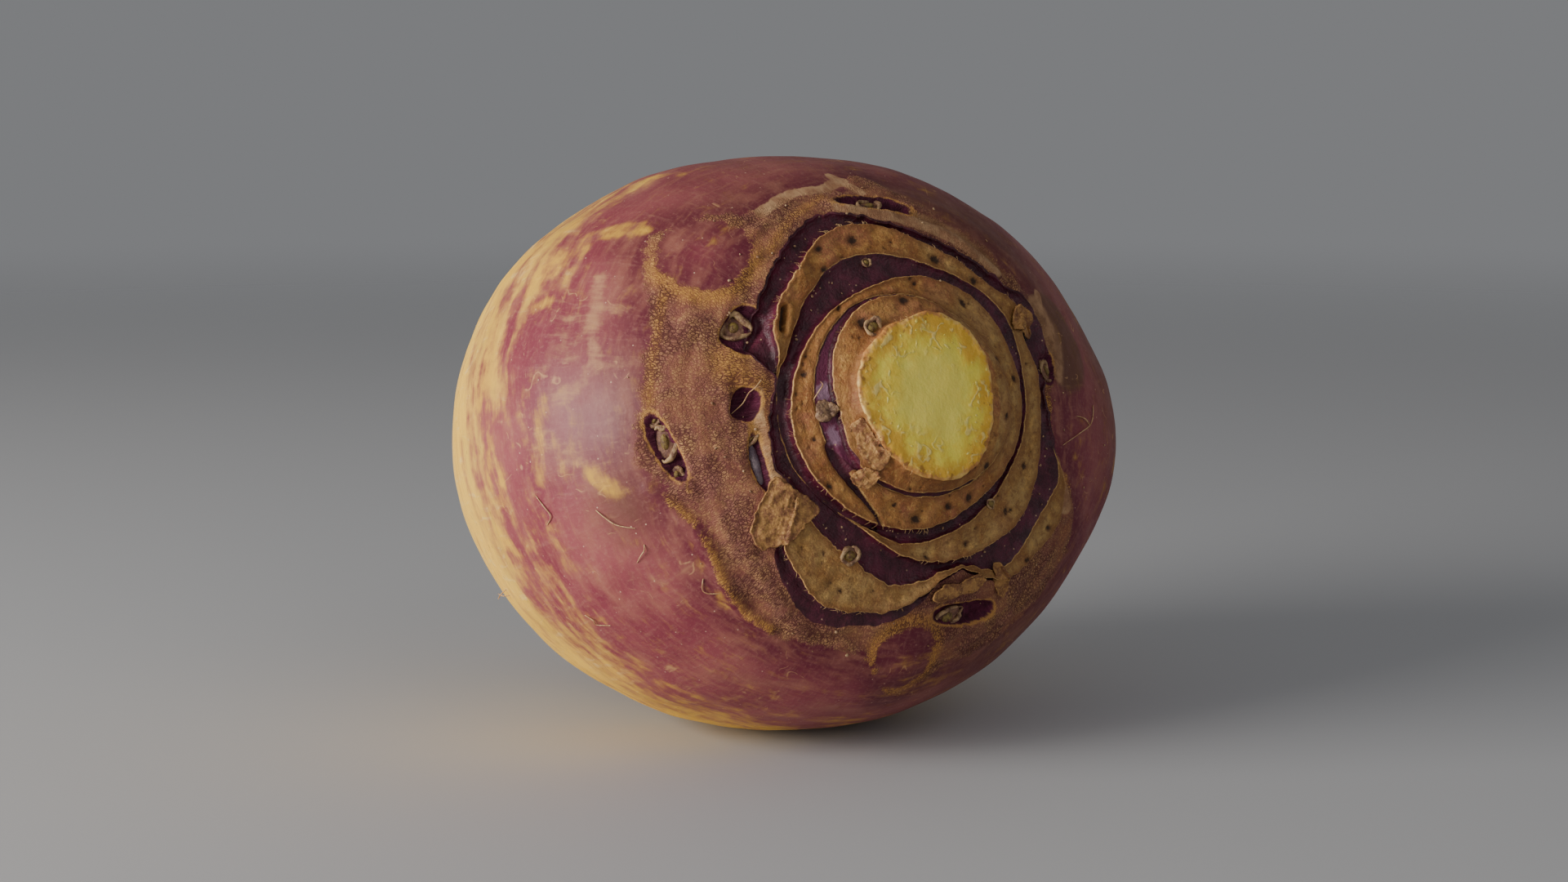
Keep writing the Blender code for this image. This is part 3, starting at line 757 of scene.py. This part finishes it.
def plum_skin():
    """Dull plum skin, creamy yellow towards the root, with a net of tan cork round the crown."""
    finish = Finish("plum_skin")
    at, around = finish.place(), finish.stored("around", "Vector")
    cream, cork, hollow, husk = map(finish.stored, ("cream", "cork", "hollow", "husk"))
    dust, gilt, brown_and_shade = finish.stored("marks", "Vector").parts()
    sheen_and_membrane, gold, ladder = finish.stored("tints_and_sheen", "Vector").parts()
    bent = around.warped(12, 5)
    cloud, mottle, fine = at.lumps(19, roughness=0.55), at.lumps(3.2, roughness=0.62), at.lumps(0.7)
    patch, streak = bent.lumps(14, 14, 6), bent.lumps(9, 9, 2.2, roughness=0.55)
    strand, band = bent.lumps(8, 8, 0.9), bent.swells(17, 17, 4.2)
    brush, wrinkle = bent.lumps(1.1, 1.1, 9), bent.lumps(9, 9, 0.7)

    scuff = (dust * 0.9 + (brush - 0.5) * 1.2 + (mottle - 0.5) * 1.8).step(0.22, 1.2)
    line = around.warped(8, 10).lumps(26, 26, 30, roughness=0.55)
    scratch = line.step(0.494, 0.4985) * line.step(0.503, 0.4985) * mottle.step(0.52, 0.60)
    speck = at.cells(2.2).step(0.08, 0.045) * fine.step(0.40, 0.55)
    ripe = cream + (patch - 0.5) * 3 + (band - 0.5) * 3.4 + (streak - 0.5) * 1.8 + (mottle - 0.5) * 2.2
    plum = cloud.step(0.32, 0.68).mix((132, 54, 70), (156, 82, 86)).coats(
        (cork.step(-12, -1) * 0.85, 96, 30, 50),
        (patch.step(0.48, 0.74) * 0.55, 172, 112, 94),
        (mottle.step(0.5, 0.72) * 0.3, 112, 46, 60),
        (streak.step(0.48, 0.70) * 0.30, 180, 120, 96),
        (strand.step(0.48, 0.74) * 0.14, 190, 134, 104),
        (brush.step(0.50, 0.76) * 0.16, 186, 132, 116),
        (fine.step(0.48, 0.75) * 0.22, 190, 138, 120),
        # Brown stains, and painted shade on the top of the skin.
        (brown_and_shade * (0.6 + mottle * 0.4), 104, 72, 52),
        # Painted highlight: a pale lilac sheen where the skin spot lies, at most 0.4.
        ((sheen_and_membrane * (mottle * 0.8)).least(0.4), 184, 146, 140),
        (scuff * 0.62, 198, 150, 108),
        (scratch * 0.5, 216, 166, 120),
        (speck * 0.7, 228, 190, 162),
        (ripe.step(-1.5, 0.2) * 0.6, 194, 134, 80))

    dull = band.step(0.42, 0.6).mix((232, 202, 140), (206, 168, 112))
    pore = bent.cells(3, 3, 1).step(0.20, 0.10) * fine.step(0.38, 0.5)
    tip = (cream + (patch - 0.5) * 2 + (mottle - 0.5)).step(4.3, 5.7)
    root = streak.step(0.4, 0.66).mix((239, 190, 82), (214, 172, 76)).coats(
        ((cream + (patch - 0.5) * 1.4).step(-0.1, 0.8), 253, 201, 78),
        ((cream + (patch - 0.5) * 1.6).step(1, 2.8) * 0.9, dull),
        ((wrinkle + (cream * 0.04)).step(0.54, 0.74) * 0.5, 186, 136, 82),
        ((brush + (mottle - 0.5) * 0.5).step(0.56, 0.74) * 0.35, 244, 222, 172),
        (cloud.step(0.5, 0.7) * 0.35, 246, 204, 96),
        (pore * 0.65, 146, 98, 60),
        (tip * 0.75, 150, 98, 58))
    rubbed = (gilt + (band - 0.5) * 1.6 + (mottle - 0.5) * 1.8 + (strand - 0.5) * 1.2).step(0.1, 1.7)

    region = at.swells(6.5)
    coarse = region.step(0.42, 0.56)
    small = around.warped(1.8, 1.1)
    gap = small.gaps(0.66, 0.66, 0.74)
    gap = gap + (small.gaps(0.45, 0.45, 1.2) - gap) * ladder.most(gold * 0.6).step(0.3, 0.7)
    seam = gap.step(0.20, 0.02) * (0.62 + coarse * 0.3)
    seam = seam.most(small.gaps(0.42, 0.42, 0.48).step(0.13, 0.02) * 0.4)
    seam = seam.most(around.warped(3, 2).gaps(2.3).step(0.07, 0.015) * region.step(0.50, 0.60) * 0.85)
    # Painted light and shade: stripes round the crown, dark for the valleys of folds in the cork and pale for
    # their crests.
    fold_light_and_shade = bent.lumps(8, 8, 1.7)
    tan = mottle.step(0.42, 0.60).mix((170, 120, 94), (190, 142, 98)).coats(
        (cloud.step(0.44, 0.58) * 0.6, 154, 98, 90),
        (region.step(0.50, 0.38) * 0.4, 204, 144, 72),
        (coarse.step(0.8, 0) * 0.5, 142, 88, 78),
        (patch.step(0.52, 0.68) * 0.55, 126, 70, 66),
        # Painted shade in the folds' valleys, then painted light on their crests.
        (fold_light_and_shade.step(0.50, 0.64) * 0.45, 118, 70, 60),
        (fold_light_and_shade.step(0.46, 0.34) * 0.35, 214, 166, 108),
        (fine.step(0.48, 0.68) * 0.35, 220, 174, 112),
        (gold * (0.35 + fine * 0.7), 226, 166, 72),
        (seam, coarse.mix((110, 58, 56), (86, 42, 42))))

    cover = (cork + (patch - 0.5) * 5 + (mottle - 0.5) * 4 + gold).step(-1.8, 1.6)
    plate = (cover * 1.35 - seam * 0.4 + (fine - 0.5) * 0.9).step(0.15, 0.85)
    smooth = (husk + (mottle - 0.5) * 0.9 + (brush - 0.5) * 0.5).step(0.35, 0.65)
    worn = (brown_and_shade * cork.step(-6, 0)).step(0.35, 0.75)
    sunk = (hollow + (fine - 0.5) * 0.3).step(-0.1, 0.14)
    lip = (hollow + (fine - 0.5) * 0.6 + (mottle - 0.5) * 1.8).step(-0.45, -0.05)
    lip = lip * (1 - sunk) * cork.step(-1, 1)
    dark = mottle.step(0.35, 0.7).mix((62, 16, 34), (98, 34, 60))
    skin = (ripe.step(-1.1, 0.8) * 0.96).mix(plum, root).coats(
        (rubbed * 0.8, 230, 178, 66),
        (cover * 0.6, 116, 60, 60),
        (plate * 0.93, tan),
        (smooth * 0.85, (brush * 0.3 + mottle * 0.7).step(0.38, 0.6).mix((198, 158, 116), (162, 118, 86))),
        (worn * 0.85, mottle.step(0.35, 0.65).mix((178, 136, 98), (142, 104, 76))),
        (lip * 0.65, 214, 158, 84),
        (sunk, dark.coats((brush.step(0.5, 0.7) * 0.3, 130, 66, 84))))

    bumps = fine * 0.3 + streak * 0.35 + brush * 0.3 + plate * (0.9 - seam * 0.9)
    bumps = bumps + wrinkle * ripe.step(0, 1) * 0.8
    dulled = 0.54 + cover * 0.2 + (mottle - 0.5) * 0.4 - sunk * 0.15
    return finish.feed({"Base Color": skin, "Roughness": dulled, "Specular IOR Level": 0.2,
                        "Normal": bumps.bump(0.22, 0.7)})


def add_object(name, data, *finishes):
    """Put a new object with these finishes in the scene."""
    for finished in finishes:
        data.materials.append(finished)
    made = bpy.data.objects.new(name, data)
    bpy.context.scene.collection.objects.link(made)
    return made


def add_piece(name, data, *finishes):
    """Put a piece of the swede in the scene, attached to the swede's one body."""
    piece = add_object(name, data, *finishes)
    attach(piece, "root")
    return piece


swede = add_piece("swede_body", swede_mesh, cut_flesh(), leaf_scars(), plum_skin())
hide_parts("rutabaga")

# The buds in the hollows: each a knob of green tissue in a brown cup, clasped by a thick dried
# scale that has curled round it to a point. They are rooted under the cork.


def ground(turn, out):
    """Height in mm of the swede over its plain outline, at one angle and reach."""
    column = round(turn / 360 * COLUMNS) % COLUMNS
    return float(np.interp(out, np.maximum.accumulate(reach[:, column]), height[:, column]))


def aloft(turn, out, level):
    """Point in metres at an angle, a reach and a height in mm over the plain outline."""
    return Vector(lay(surface(np.float64(out), np.float64(turn), level)))


def on_swede(turn, out, rise=0):
    """Point in metres a rise in mm above the swede."""
    return aloft(turn, out, ground(turn, out) + rise)


def seat(turn, out, rise, spin=0):
    """Matrix that sets a piece modelled in mm on the swede: y points away from the crown's
    centre and z off the surface, before it is spun about z."""
    outward = (aloft(turn, out + 0.5, 0) - aloft(turn, out - 0.5, 0)).normalized()
    along = (aloft(turn - 1, out, 0) - aloft(turn + 1, out, 0)).normalized()
    off = along.cross(outward).normalized()
    axes = Matrix((outward.cross(off), outward, off)).transposed().to_4x4()
    place = Matrix.Translation(on_swede(turn, out, rise)) @ axes
    return place @ Matrix.Rotation(math.radians(spin), 4, "Z") @ Matrix.Scale(MM, 4)


def add_knob(knobs, matrix, wide, long, tall, kind):
    """A small lumpy dome with the finish of its kind."""
    shape = matrix @ Matrix.Diagonal((wide / 2, long / 2, tall, 1))
    made = bmesh.ops.create_icosphere(knobs, subdivisions=3, radius=1, matrix=shape)["verts"]
    for vert in made:
        vert.co += vert.normal * 0.12 * MM * noise.noise(vert.co / (0.7 * MM))
    for face in {face for vert in made for face in vert.link_faces}:
        face.material_index = kind
        face.smooth = True


def new_strands(name, thickness, round_steps=1):
    """A curve piece whose strands have the given thickness in mm at their thickest."""
    strands = bpy.data.curves.new(name, "CURVE")
    strands.dimensions = "3D"
    strands.bevel_depth = thickness / 2 * MM
    strands.bevel_resolution = round_steps
    strands.use_fill_caps = True
    return strands


def add_strand(strands, places, widths=(1, 0.35)):
    """A strand through places, its width going evenly through the given shares."""
    strand = strands.splines.new("POLY")
    strand.points.add(len(places) - 1)
    for index, (point, there) in enumerate(zip(strand.points, places)):
        point.co = (*there, 1)
        point.radius = float(np.interp(index / (len(places) - 1), np.linspace(0, 1, len(widths)), widths))


def dry_finish(name, size, light, deep, bright, rough=0.5):
    """Dry tissue: light and deep in patches of a size in mm, with bright specks."""
    finish = Finish(name)
    at = finish.place()
    cloud, fine = at.lumps(size), at.lumps(0.4, roughness=0.65)
    tissue = cloud.step(0.38, 0.62).mix(light, deep).coats((fine.step(0.52, 0.7) * 0.55, *bright),
                                                           (fine.step(0.44, 0.3) * 0.4, *deep))
    return finish.feed({"Base Color": tissue, "Roughness": rough + fine * 0.2,
                        "Normal": (fine + cloud).bump(0.25, 0.7)})


# Each bud: angle, reach, rise, spin, width, length, first and last turn of its curled scale, how
# thick that is and the heart's share of the width. The scale's point is at 180.
BUDS = [(152.4, 35.2, -0.1, 6, 5.4, 4.9, -176, 176, 1.5, 0.4),
    (183, 46.8, 0.1, 0, 7, 3.8, 55, 318, 1.5, 0.42), (190.9, 46.5, 0, -12, 3.6, 2.3, 60, 290, 1, 0.5),
    (177.8, 47.9, 0.1, 40, 2, 2.8, -150, 150, 0.9, 0.4), (86.8, 40.9, 0, 10, 5.6, 3.2, -165, 165, 1.1, 0.4),
    (280.2, 42.6, 0.1, -74, 4.4, 6.2, -176, 176, 1.1, 0.45),
    (239.2, 31, 0.2, 20, 3.6, 3.2, -172, 172, 1.1, 0.6), (123.2, 15.9, 0, 10, 3.8, 3, -172, 172, 0.9, 0.6),
    (98.4, 27.2, 0.1, 0, 1.9, 1.7, -170, 170, 0.6, 0.6),
    (306.5, 24.7, 0.1, 30, 2, 1.9, -160, 160, 0.6, 0.7), (7.4, 34.9, 0, 12, 5.6, 2.4, -172, 172, 1, 0.4),
    (186.8, 32.1, 0.2, 30, 1.6, 3, -120, 170, 0.8, 0.4)]
CUP, HEART, BARE_SKIN = range(3)
curled = new_strands("bud_scales", 1, 3)
knobs = bmesh.new()
for turn, out, rise, spin, wide, long, first, last, thick, heart in BUDS:
    base = seat(turn, out, rise, spin)
    points = []
    for way in np.radians(np.linspace(first, last, 25)):
        narrow = 0.6 + 0.4 * math.cos(way / 2) ** 2
        uneven = 1 + 0.3 * noise.noise(Vector((1.6 * math.cos(way), 1.6 * math.sin(way), turn)))
        lifted = 0.3 * thick * (1 - math.cos(2 * way)) / 2 + 0.8 * (uneven - 1)
        points.append(base @ Vector((-wide / 2 * math.sin(way) * narrow * uneven,
                                     long / 2 * math.cos(way) * uneven, lifted)))
    middle_widths = [0.75 + 0.7 * noise.noise(Vector((2.3 * step, turn, 0))) for step in range(1, 8)]
    add_strand(curled, points, [thick * width for width in (0.2, *middle_widths, 0.25)])
    cup, core = Matrix.Translation((0, 0, -0.1)), Matrix.Translation((0, 0.06 * long, 0.1))
    add_knob(knobs, base @ cup, 0.92 * wide, 0.92 * long, 0.35 * thick, CUP)
    add_knob(knobs, base @ core, heart * wide, heart * long, 0.55 * thick, HEART)
add_knob(knobs, seat(196, 32.8, -0.25, -8), 9.6, 2.2, 1, BARE_SKIN)
add_piece("bud_hearts", as_mesh("bud_hearts", knobs),
          dry_finish("bud_cup", 1.2, (138, 98, 74), (98, 60, 52), (172, 132, 96)),
          dry_finish("bud_heart", 0.9, (134, 112, 52), (92, 62, 34), (170, 142, 78)),
          dry_finish("bud_skin", 1.6, (130, 114, 118), (104, 84, 94), (140, 126, 146), 0.4))
add_piece("bud_scales", curled,
          dry_finish("bud_scale", 1.5, (180, 146, 102), (118, 82, 60), (214, 186, 142)))

# Torn tissue: dry crusts that still hang on where leaves were pulled off and where the knife tore
# the neck, and a tooth of husk beside it. Each lies on the swede, frayed at its edge.

CRUST_RINGS, CRUST_COLUMNS, CRUST_THICKNESS = 22, 96, 0.3 * MM
LEAF, NECK, HUSK = range(3)


def add_crust(crusts, turn, out, border, rise, lift, lumpy, kind=LEAF):
    """A crust round a place on the swede, its border given as direction and distance in turn."""
    start = len(crusts.verts)
    chain = [crusts.verts.new((ring / CRUST_RINGS, 0, 0)) for ring in range(CRUST_RINGS + 1)]
    bmesh.ops.spin(crusts, geom=chain + [crusts.edges.new(pair) for pair in zip(chain, chain[1:])],
                   cent=(0, 0, 0), axis=(0, 0, 1), angle=math.tau, steps=CRUST_COLUMNS, use_merge=True,
                   use_duplicate=False)
    crusts.verts.ensure_lookup_table()
    bmesh.ops.remove_doubles(crusts, verts=crusts.verts[start:], dist=1e-4)
    crusts.verts.ensure_lookup_table()
    made = crusts.verts[start:]
    radius_there = float(np.interp(out, outline[0], outline[1]))

    def offset(direction, share=1):
        """Offset in mm round and out from the crust's place, at a share of the way to its border."""
        away, way = share * float(line_reach(border, direction)), math.radians(direction)
        return away * math.cos(way), away * math.sin(way)

    ring = [offset(direction) for direction in range(0, 360, 24)]
    levels = [ground(turn + math.degrees(x / radius_there), out + y) for x, y in ring]
    slopes = np.linalg.lstsq(np.c_[ring, np.ones(len(ring))], levels, rcond=None)[0]
    for vert in made:
        share = math.hypot(vert.co.x, vert.co.y)
        direction = math.degrees(math.atan2(vert.co.y, vert.co.x)) % 360
        way = math.radians(direction)
        fray = noise.noise(Vector((math.cos(way), math.sin(way), turn)) * 6)
        across, outwards = offset(direction, share * (1 + 0.10 * fray * share))
        spot = Vector((across, outwards, turn))
        crumb = noise.noise(spot / 1.7) + 0.6 * noise.noise(spot / 0.7) - 1.2 * abs(noise.noise(spot / 2.6))
        edge = max((share - 0.8) / 0.2, 0)
        curl = lift * edge * edge * (0.5 + noise.noise(spot / 2.4))
        there = turn + math.degrees(across / radius_there)
        flat = slopes[0] * across + slopes[1] * outwards + slopes[2]
        beside = math.degrees(1.1 / radius_there)
        near = [ground(there + beside * x, out + outwards + 1.1 * y) for x in (-1, 0, 1) for y in (-1, 0, 1)]
        level = max(sum(near) / 9 + 0.2, flat, ground(there, out + outwards) + 0.05)
        vert.co = aloft(there, out + outwards, level + rise + lumpy * crumb * min(share * 4, 1) + curl)
    faces = list({face for vert in made for face in vert.link_faces})
    bmesh.ops.recalc_face_normals(crusts, faces=faces)
    for face in faces:
        face.material_index = kind
    bmesh.ops.solidify(crusts, geom=faces, thickness=CRUST_THICKNESS)


FLAP = (16, 5.2, 46, 5.3, 66, 6.6, 81, 5.9, 120, 3.9, 160, 3.8, 189, 4.6, 205, 6.9, 217, 6, 250, 5.2,
    292, 6.9, 306, 8, 331, 5.3)
NECK_TEAR = (0, 5, 25, 3.8, 60, 2, 120, 1.2, 160, 3.4, 188, 5.6, 215, 3.6, 250, 2.2, 270, 2.7, 300, 2.1,
    335, 4.4)
JAGGED = (0, 5.6, 20, 5, 50, 2, 110, 1.4, 150, 3, 172, 6.6, 195, 5, 230, 1.6, 280, 1.1, 320, 2.2)
UPRIGHT = (0, 1.4, 50, 2, 90, 4, 130, 2.2, 180, 1.3, 240, 1.8, 270, 3.4, 310, 1.6)
LEDGE_BLOCK = (20, 2, 80, 1.5, 140, 2.2, 200, 1.8, 260, 1.3, 320, 2.1)
TOOTH = (0, 1.7, 60, 1.8, 90, 1.4, 120, 1.8, 180, 1.8, 225, 1.7, 270, 2.2, 315, 1.6)
RIGHT_FOLD = (45, 3, 100, 3.6, 150, 2.6, 185, 4, 235, 2.8, 270, 4, 320, 3.2)
crusts = bmesh.new()
add_crust(crusts, 211.5, 34.5, FLAP, 0.4, 0.6, 0.3)
add_crust(crusts, 211, 15.9, NECK_TEAR, -0.05, 0.1, 0.3, NECK)
add_crust(crusts, 224.5, 18.9, LEDGE_BLOCK, 0.4, 0.4, 0.3, NECK)
add_crust(crusts, 26, 33.2, RIGHT_FOLD, 0.4, 0.9, 0.35)
add_crust(crusts, 282.5, 36.4, JAGGED, 0.3, 0.6, 0.3)
add_crust(crusts, 298, 39, UPRIGHT, 0.3, 0.7, 0.3)
add_crust(crusts, 182, 19.5, TOOTH, 0.3, -0.6, 0.22, HUSK)
crust_mesh = as_mesh("torn_tissue", crusts)
crust_mesh.shade_smooth()
add_piece("torn_tissue", crust_mesh,
          dry_finish("leaf_crust", 1.8, (178, 130, 74), (128, 82, 50), (222, 176, 100), 0.55),
          dry_finish("neck_crust", 1.8, (188, 138, 80), (132, 82, 50), (226, 188, 124), 0.55),
          dry_finish("husk_tooth", 1.4, (152, 118, 86), (92, 62, 50), (198, 168, 126), 0.5))

# Dry fibres: the frayed ends of the leaves' veins along the scars' rims, a few loose hairs caught
# on the skin, and the thin rootlets in the furrows of the tail.
#
# Rims that are frayed: the rim, its angles, how many fibres and how long.
FRAYED = [(scar_lines[0][1], 172, 268, 40, 0.8), (scar_lines[1][1], 92, 168, 36, 0.8),
    (scar_lines[1][1], 236, 330, 22, 0.6), (scar_lines[1][1], 20, 90, 18, 0.5),
    (ledge_line, 110, 220, 16, 0.6), (scar_lines[2][1], 216, 262, 26, 0.7), (cut_line, 90, 250, 34, 0.7)]
UNDER_FLAP = (198, 224)
draw = random.Random(11)
fringe = new_strands("rim_fringe", 0.11)
for rim, first, last, count, length in FRAYED:
    for _ in range(count):
        turn = draw.uniform(first, last)
        if UNDER_FLAP[0] < turn < UNDER_FLAP[1] and rim is scar_lines[1][1]:
            continue
        out = float(np.interp(turn, angles, rim)) - 0.25
        level = ground(turn, out)
        long, bend = length * draw.uniform(0.5, 1.5), draw.uniform(-1.6, 1.6)
        add_strand(fringe, [aloft(turn, out, level - 0.05),
                            aloft(turn + 0.4 * bend, out + 0.5 * long, level + 0.12),
                            aloft(turn + bend, out + long, level - draw.uniform(-0.2, 0.6) * long)])
add_piece("rim_fringe", fringe,
          dry_finish("rim_fibre", 1.6, (208, 172, 116), (158, 112, 70), (222, 190, 136)))

# Pale torn fibres on the cut face: angle, share of the way out, length in mm and heading, then more.
TORN_FIBRES = [(100, 0.66, 3.2, 80), (118, 0.62, 2.6, 60), (135, 0.6, 2.8, 110), (150, 0.63, 2.6, 75),
    (165, 0.6, 2.6, 120), (180, 0.64, 2.6, 80), (196, 0.62, 2.8, 110), (212, 0.68, 2.4, 70),
    (75, 0.55, 4.5, 150), (62, 0.62, 3.6, 140), (48, 0.7, 3, 150), (88, 0.78, 2.2, 170),
    (10, 0.72, 1.8, 60), (4, 0.74, 1.9, 75), (357, 0.74, 1.9, 95), (350, 0.73, 1.9, 110),
    (343, 0.72, 1.7, 120), (335, 0.7, 1.4, 150), (328, 0.72, 1.3, 160), (300, 0.8, 1.8, 30)]
FIBRE_COUNT = 34
while len(TORN_FIBRES) < FIBRE_COUNT:
    TORN_FIBRES.append((draw.uniform(0, 360), draw.uniform(0.66, 0.95), draw.uniform(0.6, 1.6),
                        draw.uniform(0, 180)))
fibres = new_strands("cut_fibres", 0.8)
for turn, share, long, way in TORN_FIBRES:
    middle = cmath.rect(share * float(np.interp(turn, angles, cut_line)), math.radians(turn))
    points = []
    for along in np.linspace(-0.5, 0.5, 9):
        bend = 0.35 * (along * along - 0.1) + 0.06 * noise.noise(Vector((6 * along, turn, 0)))
        there = middle + long * complex(along, bend) * cmath.rect(1, math.radians(way))
        points.append(on_swede(math.degrees(cmath.phase(there)) % 360, abs(there), -0.28))
    add_strand(fibres, points, (0.3, 0.8, 1, 0.7, 0.2))
add_piece("cut_fibres", fibres,
          dry_finish("cut_fibre", 1, (248, 230, 120), (236, 208, 84), (252, 240, 164), 0.35))

# Loose hairs, as points of angle, reach and rise.
HAIRS = [[(192.6, 62, 0.1), (194.6, 60.6, 0.5), (196.4, 59.2, 0.5), (198.2, 56.6, 0.15)],
    [(201.8, 56.6, 0.1), (202.8, 57, 0.5), (203.4, 58, 0.5), (204.4, 59.6, 0.1)],
    [(213.8, 51.6, 0.1), (215.6, 53, 0.3), (217, 52.8, 0.3), (218.6, 51.2, 0.1)],
    [(357.6, 47.4, 0.1), (355, 46.4, 0.4), (352.6, 45.2, 0.4), (350, 42, 0.3), (346.8, 38.6, 0.4),
     (344.8, 37, 0.1)],
    [(352.6, 45.2, 0.3), (353.8, 43.4, 0.4), (354.2, 41.2, 0.1)],
    [(176, 21.4, 0.2), (172, 20.6, 0.8), (168.6, 19.8, 0.7), (166.4, 19.9, 0.1)],
    [(168, 29.8, 0.2), (172, 31.4, 0.7), (175.6, 32.6, 0.7), (178.4, 34.6, 0.2)],
    [(209.6, 78.4, 0.1), (211, 77, 0.4), (212, 77.4, 0.3), (213.2, 74.6, 0.1)],
    [(187.2, 73.2, 0.1), (189.4, 72, 0.3), (191.2, 71.4, 0.3), (192.4, 73.4, 0.1)],
    [(201.6, 104.4, -0.3), (202, 104.8, 1.2), (202.5, 104.2, 2.3)],
    [(203, 104.2, -0.3), (202.6, 105, 0.9), (201.8, 105.8, 1.6)]]
loose = new_strands("loose_hairs", 0.24)
for hair in HAIRS:
    points = smooth_through(hair, (0, 0.25, 0.5, 0.75)) + [hair[-1]]
    add_strand(loose, [on_swede(*map(float, point)) for point in points], (0.8, 1, 0.5))
add_piece("loose_hairs", loose,
          dry_finish("loose_fibre", 1.6, (218, 180, 130), (176, 126, 86), (232, 200, 150)))

# Rootlets in the two furrows of the tail and round its tip: angle, first and last reach, count.
ROOTLETS = [(78, 128, 160, 26), (256, 130, 160, 26), (167, 150, 164, 10), (340, 150, 164, 10)]
LEAST_CLEARANCE = 0.0004
rootlets = new_strands("tail_rootlets", 0.34)
for furrow, first, last, count in ROOTLETS:
    for _ in range(count):
        turn, out = furrow + draw.uniform(-3, 3), draw.uniform(first, last)
        long, bend = draw.uniform(2, 8), draw.uniform(-9, 9)
        points = [on_swede(turn, out, -0.3)]
        for share in (0.3, 0.6, 1):
            point = on_swede(turn + bend * share ** 1.5, min(out + long * share, end_reach - 8),
                             0.25 + 0.8 * math.sin(3.1 * share) * draw.uniform(0.3, 1))
            point.z = max(point.z, LEAST_CLEARANCE)
            points.append(point)
        add_strand(rootlets, points, (1, 0.5, 0.2))
add_piece("tail_rootlets", rootlets,
          dry_finish("rootlet", 1.6, (206, 162, 104), (150, 104, 66), (222, 184, 130)))

# Crumbs of dried tissue and soil, lodged in the grooves and on the cork.
CRUMBS, CRUMB_FACES = 110, 20
crumbs = bmesh.new()
while len(crumbs.faces) < CRUMBS * CRUMB_FACES:
    turn, out = draw.uniform(0, 360), draw.uniform(20.5, 52)
    column = round(turn / 360 * COLUMNS) % COLUMNS
    row = int(np.abs(reach[:, column] - out).argmin())
    if scar[row, column] > -0.2 or (out > 39 and draw.random() < 0.7):
        continue
    size = draw.uniform(0.12, 0.38)
    spun_crumb = (seat(turn, out, size * 0.4) @ Matrix.Rotation(draw.uniform(0, 6.3), 4, "Z")
                  @ Matrix.Rotation(draw.uniform(-0.6, 0.6), 4, "X")
                  @ Matrix.Diagonal((size, size * draw.uniform(0.5, 1), size * draw.uniform(0.4, 0.8), 1)))
    bmesh.ops.create_icosphere(crumbs, subdivisions=1, radius=1, matrix=spun_crumb)
add_piece("dry_crumbs", as_mesh("dry_crumbs", crumbs),
          dry_finish("crumb", 1.6, (202, 168, 126), (140, 98, 68), (222, 194, 154)))

# The surface that the swede lies on: a plain pale studio floor, which fades into the room's grey
# further off.
FLOOR_RADIUS, FADE_START, FADE_END = 2, 0.45, 1.6
floor_shape = bmesh.new()
bmesh.ops.create_circle(floor_shape, cap_ends=True, radius=FLOOR_RADIUS, segments=96)
floor_finish = Finish("pale_floor")
from_middle = floor_finish.place().vector("LENGTH", output=1)
floor_finish.feed({"Base Color": (0.50, 0.50, 0.51, 1), "Roughness": 0.75,
                   "Alpha": from_middle.step(FADE_END / MM, FADE_START / MM)})
add_object("studio_floor", as_mesh("studio_floor", floor_shape), floor_finish.material)

# The camera, a little above the crown and to one side of it.
CAMERA_TURN, CAMERA_RISE, CAMERA_AWAY = math.radians(59.25), math.radians(8), 0.513
girth_centre = Vector(stand * MM)
toward = Vector((math.sin(CAMERA_TURN) * math.cos(CAMERA_RISE),
                 -math.cos(CAMERA_TURN) * math.cos(CAMERA_RISE), math.sin(CAMERA_RISE)))
rightward = Vector((math.cos(CAMERA_TURN), math.sin(CAMERA_TURN), 0))
upward = toward.cross(rightward)
camera_data = bpy.data.cameras.new("camera")
camera_data.lens, camera_data.sensor_width = 60, 36
camera_data.clip_start, camera_data.clip_end = 0.01, 50
camera = add_object("camera", camera_data)
camera.location = girth_centre + toward * CAMERA_AWAY
camera.rotation_euler = Matrix((rightward, upward, toward)).transposed().to_euler()
bpy.context.scene.camera = camera

# Soft studio light: a big window-like softbox from the left, a weak fill low on the right, and a
# dim grey room.


def softbox(name, left, up, near, size, power, tint=(1, 1, 1)):
    """A square light beside the camera's line of sight, aimed at the swede."""
    data = bpy.data.lights.new(name, "AREA")
    data.size, data.energy, data.color = size, power, tint
    lamp = add_object(name, data)
    lamp.location = girth_centre - rightward * left + Vector((0, 0, up)) + toward * near
    lamp.rotation_euler = (girth_centre - lamp.location).to_track_quat("-Z", "Y").to_euler()


softbox("key_softbox", 0.86, 0.16, 0.48, 0.6, 14.5, (1, 0.97, 0.92))
softbox("fill_softbox", -0.5, 0.45, 0.8, 0.6, 1.4)
room = bpy.data.worlds.new("room")
room.use_nodes = True
room_light = room.node_tree.nodes["Background"].inputs
room_light["Color"].default_value = (0.53, 0.54, 0.56, 1)
room_light["Strength"].default_value = 0.38
bpy.context.scene.world = room
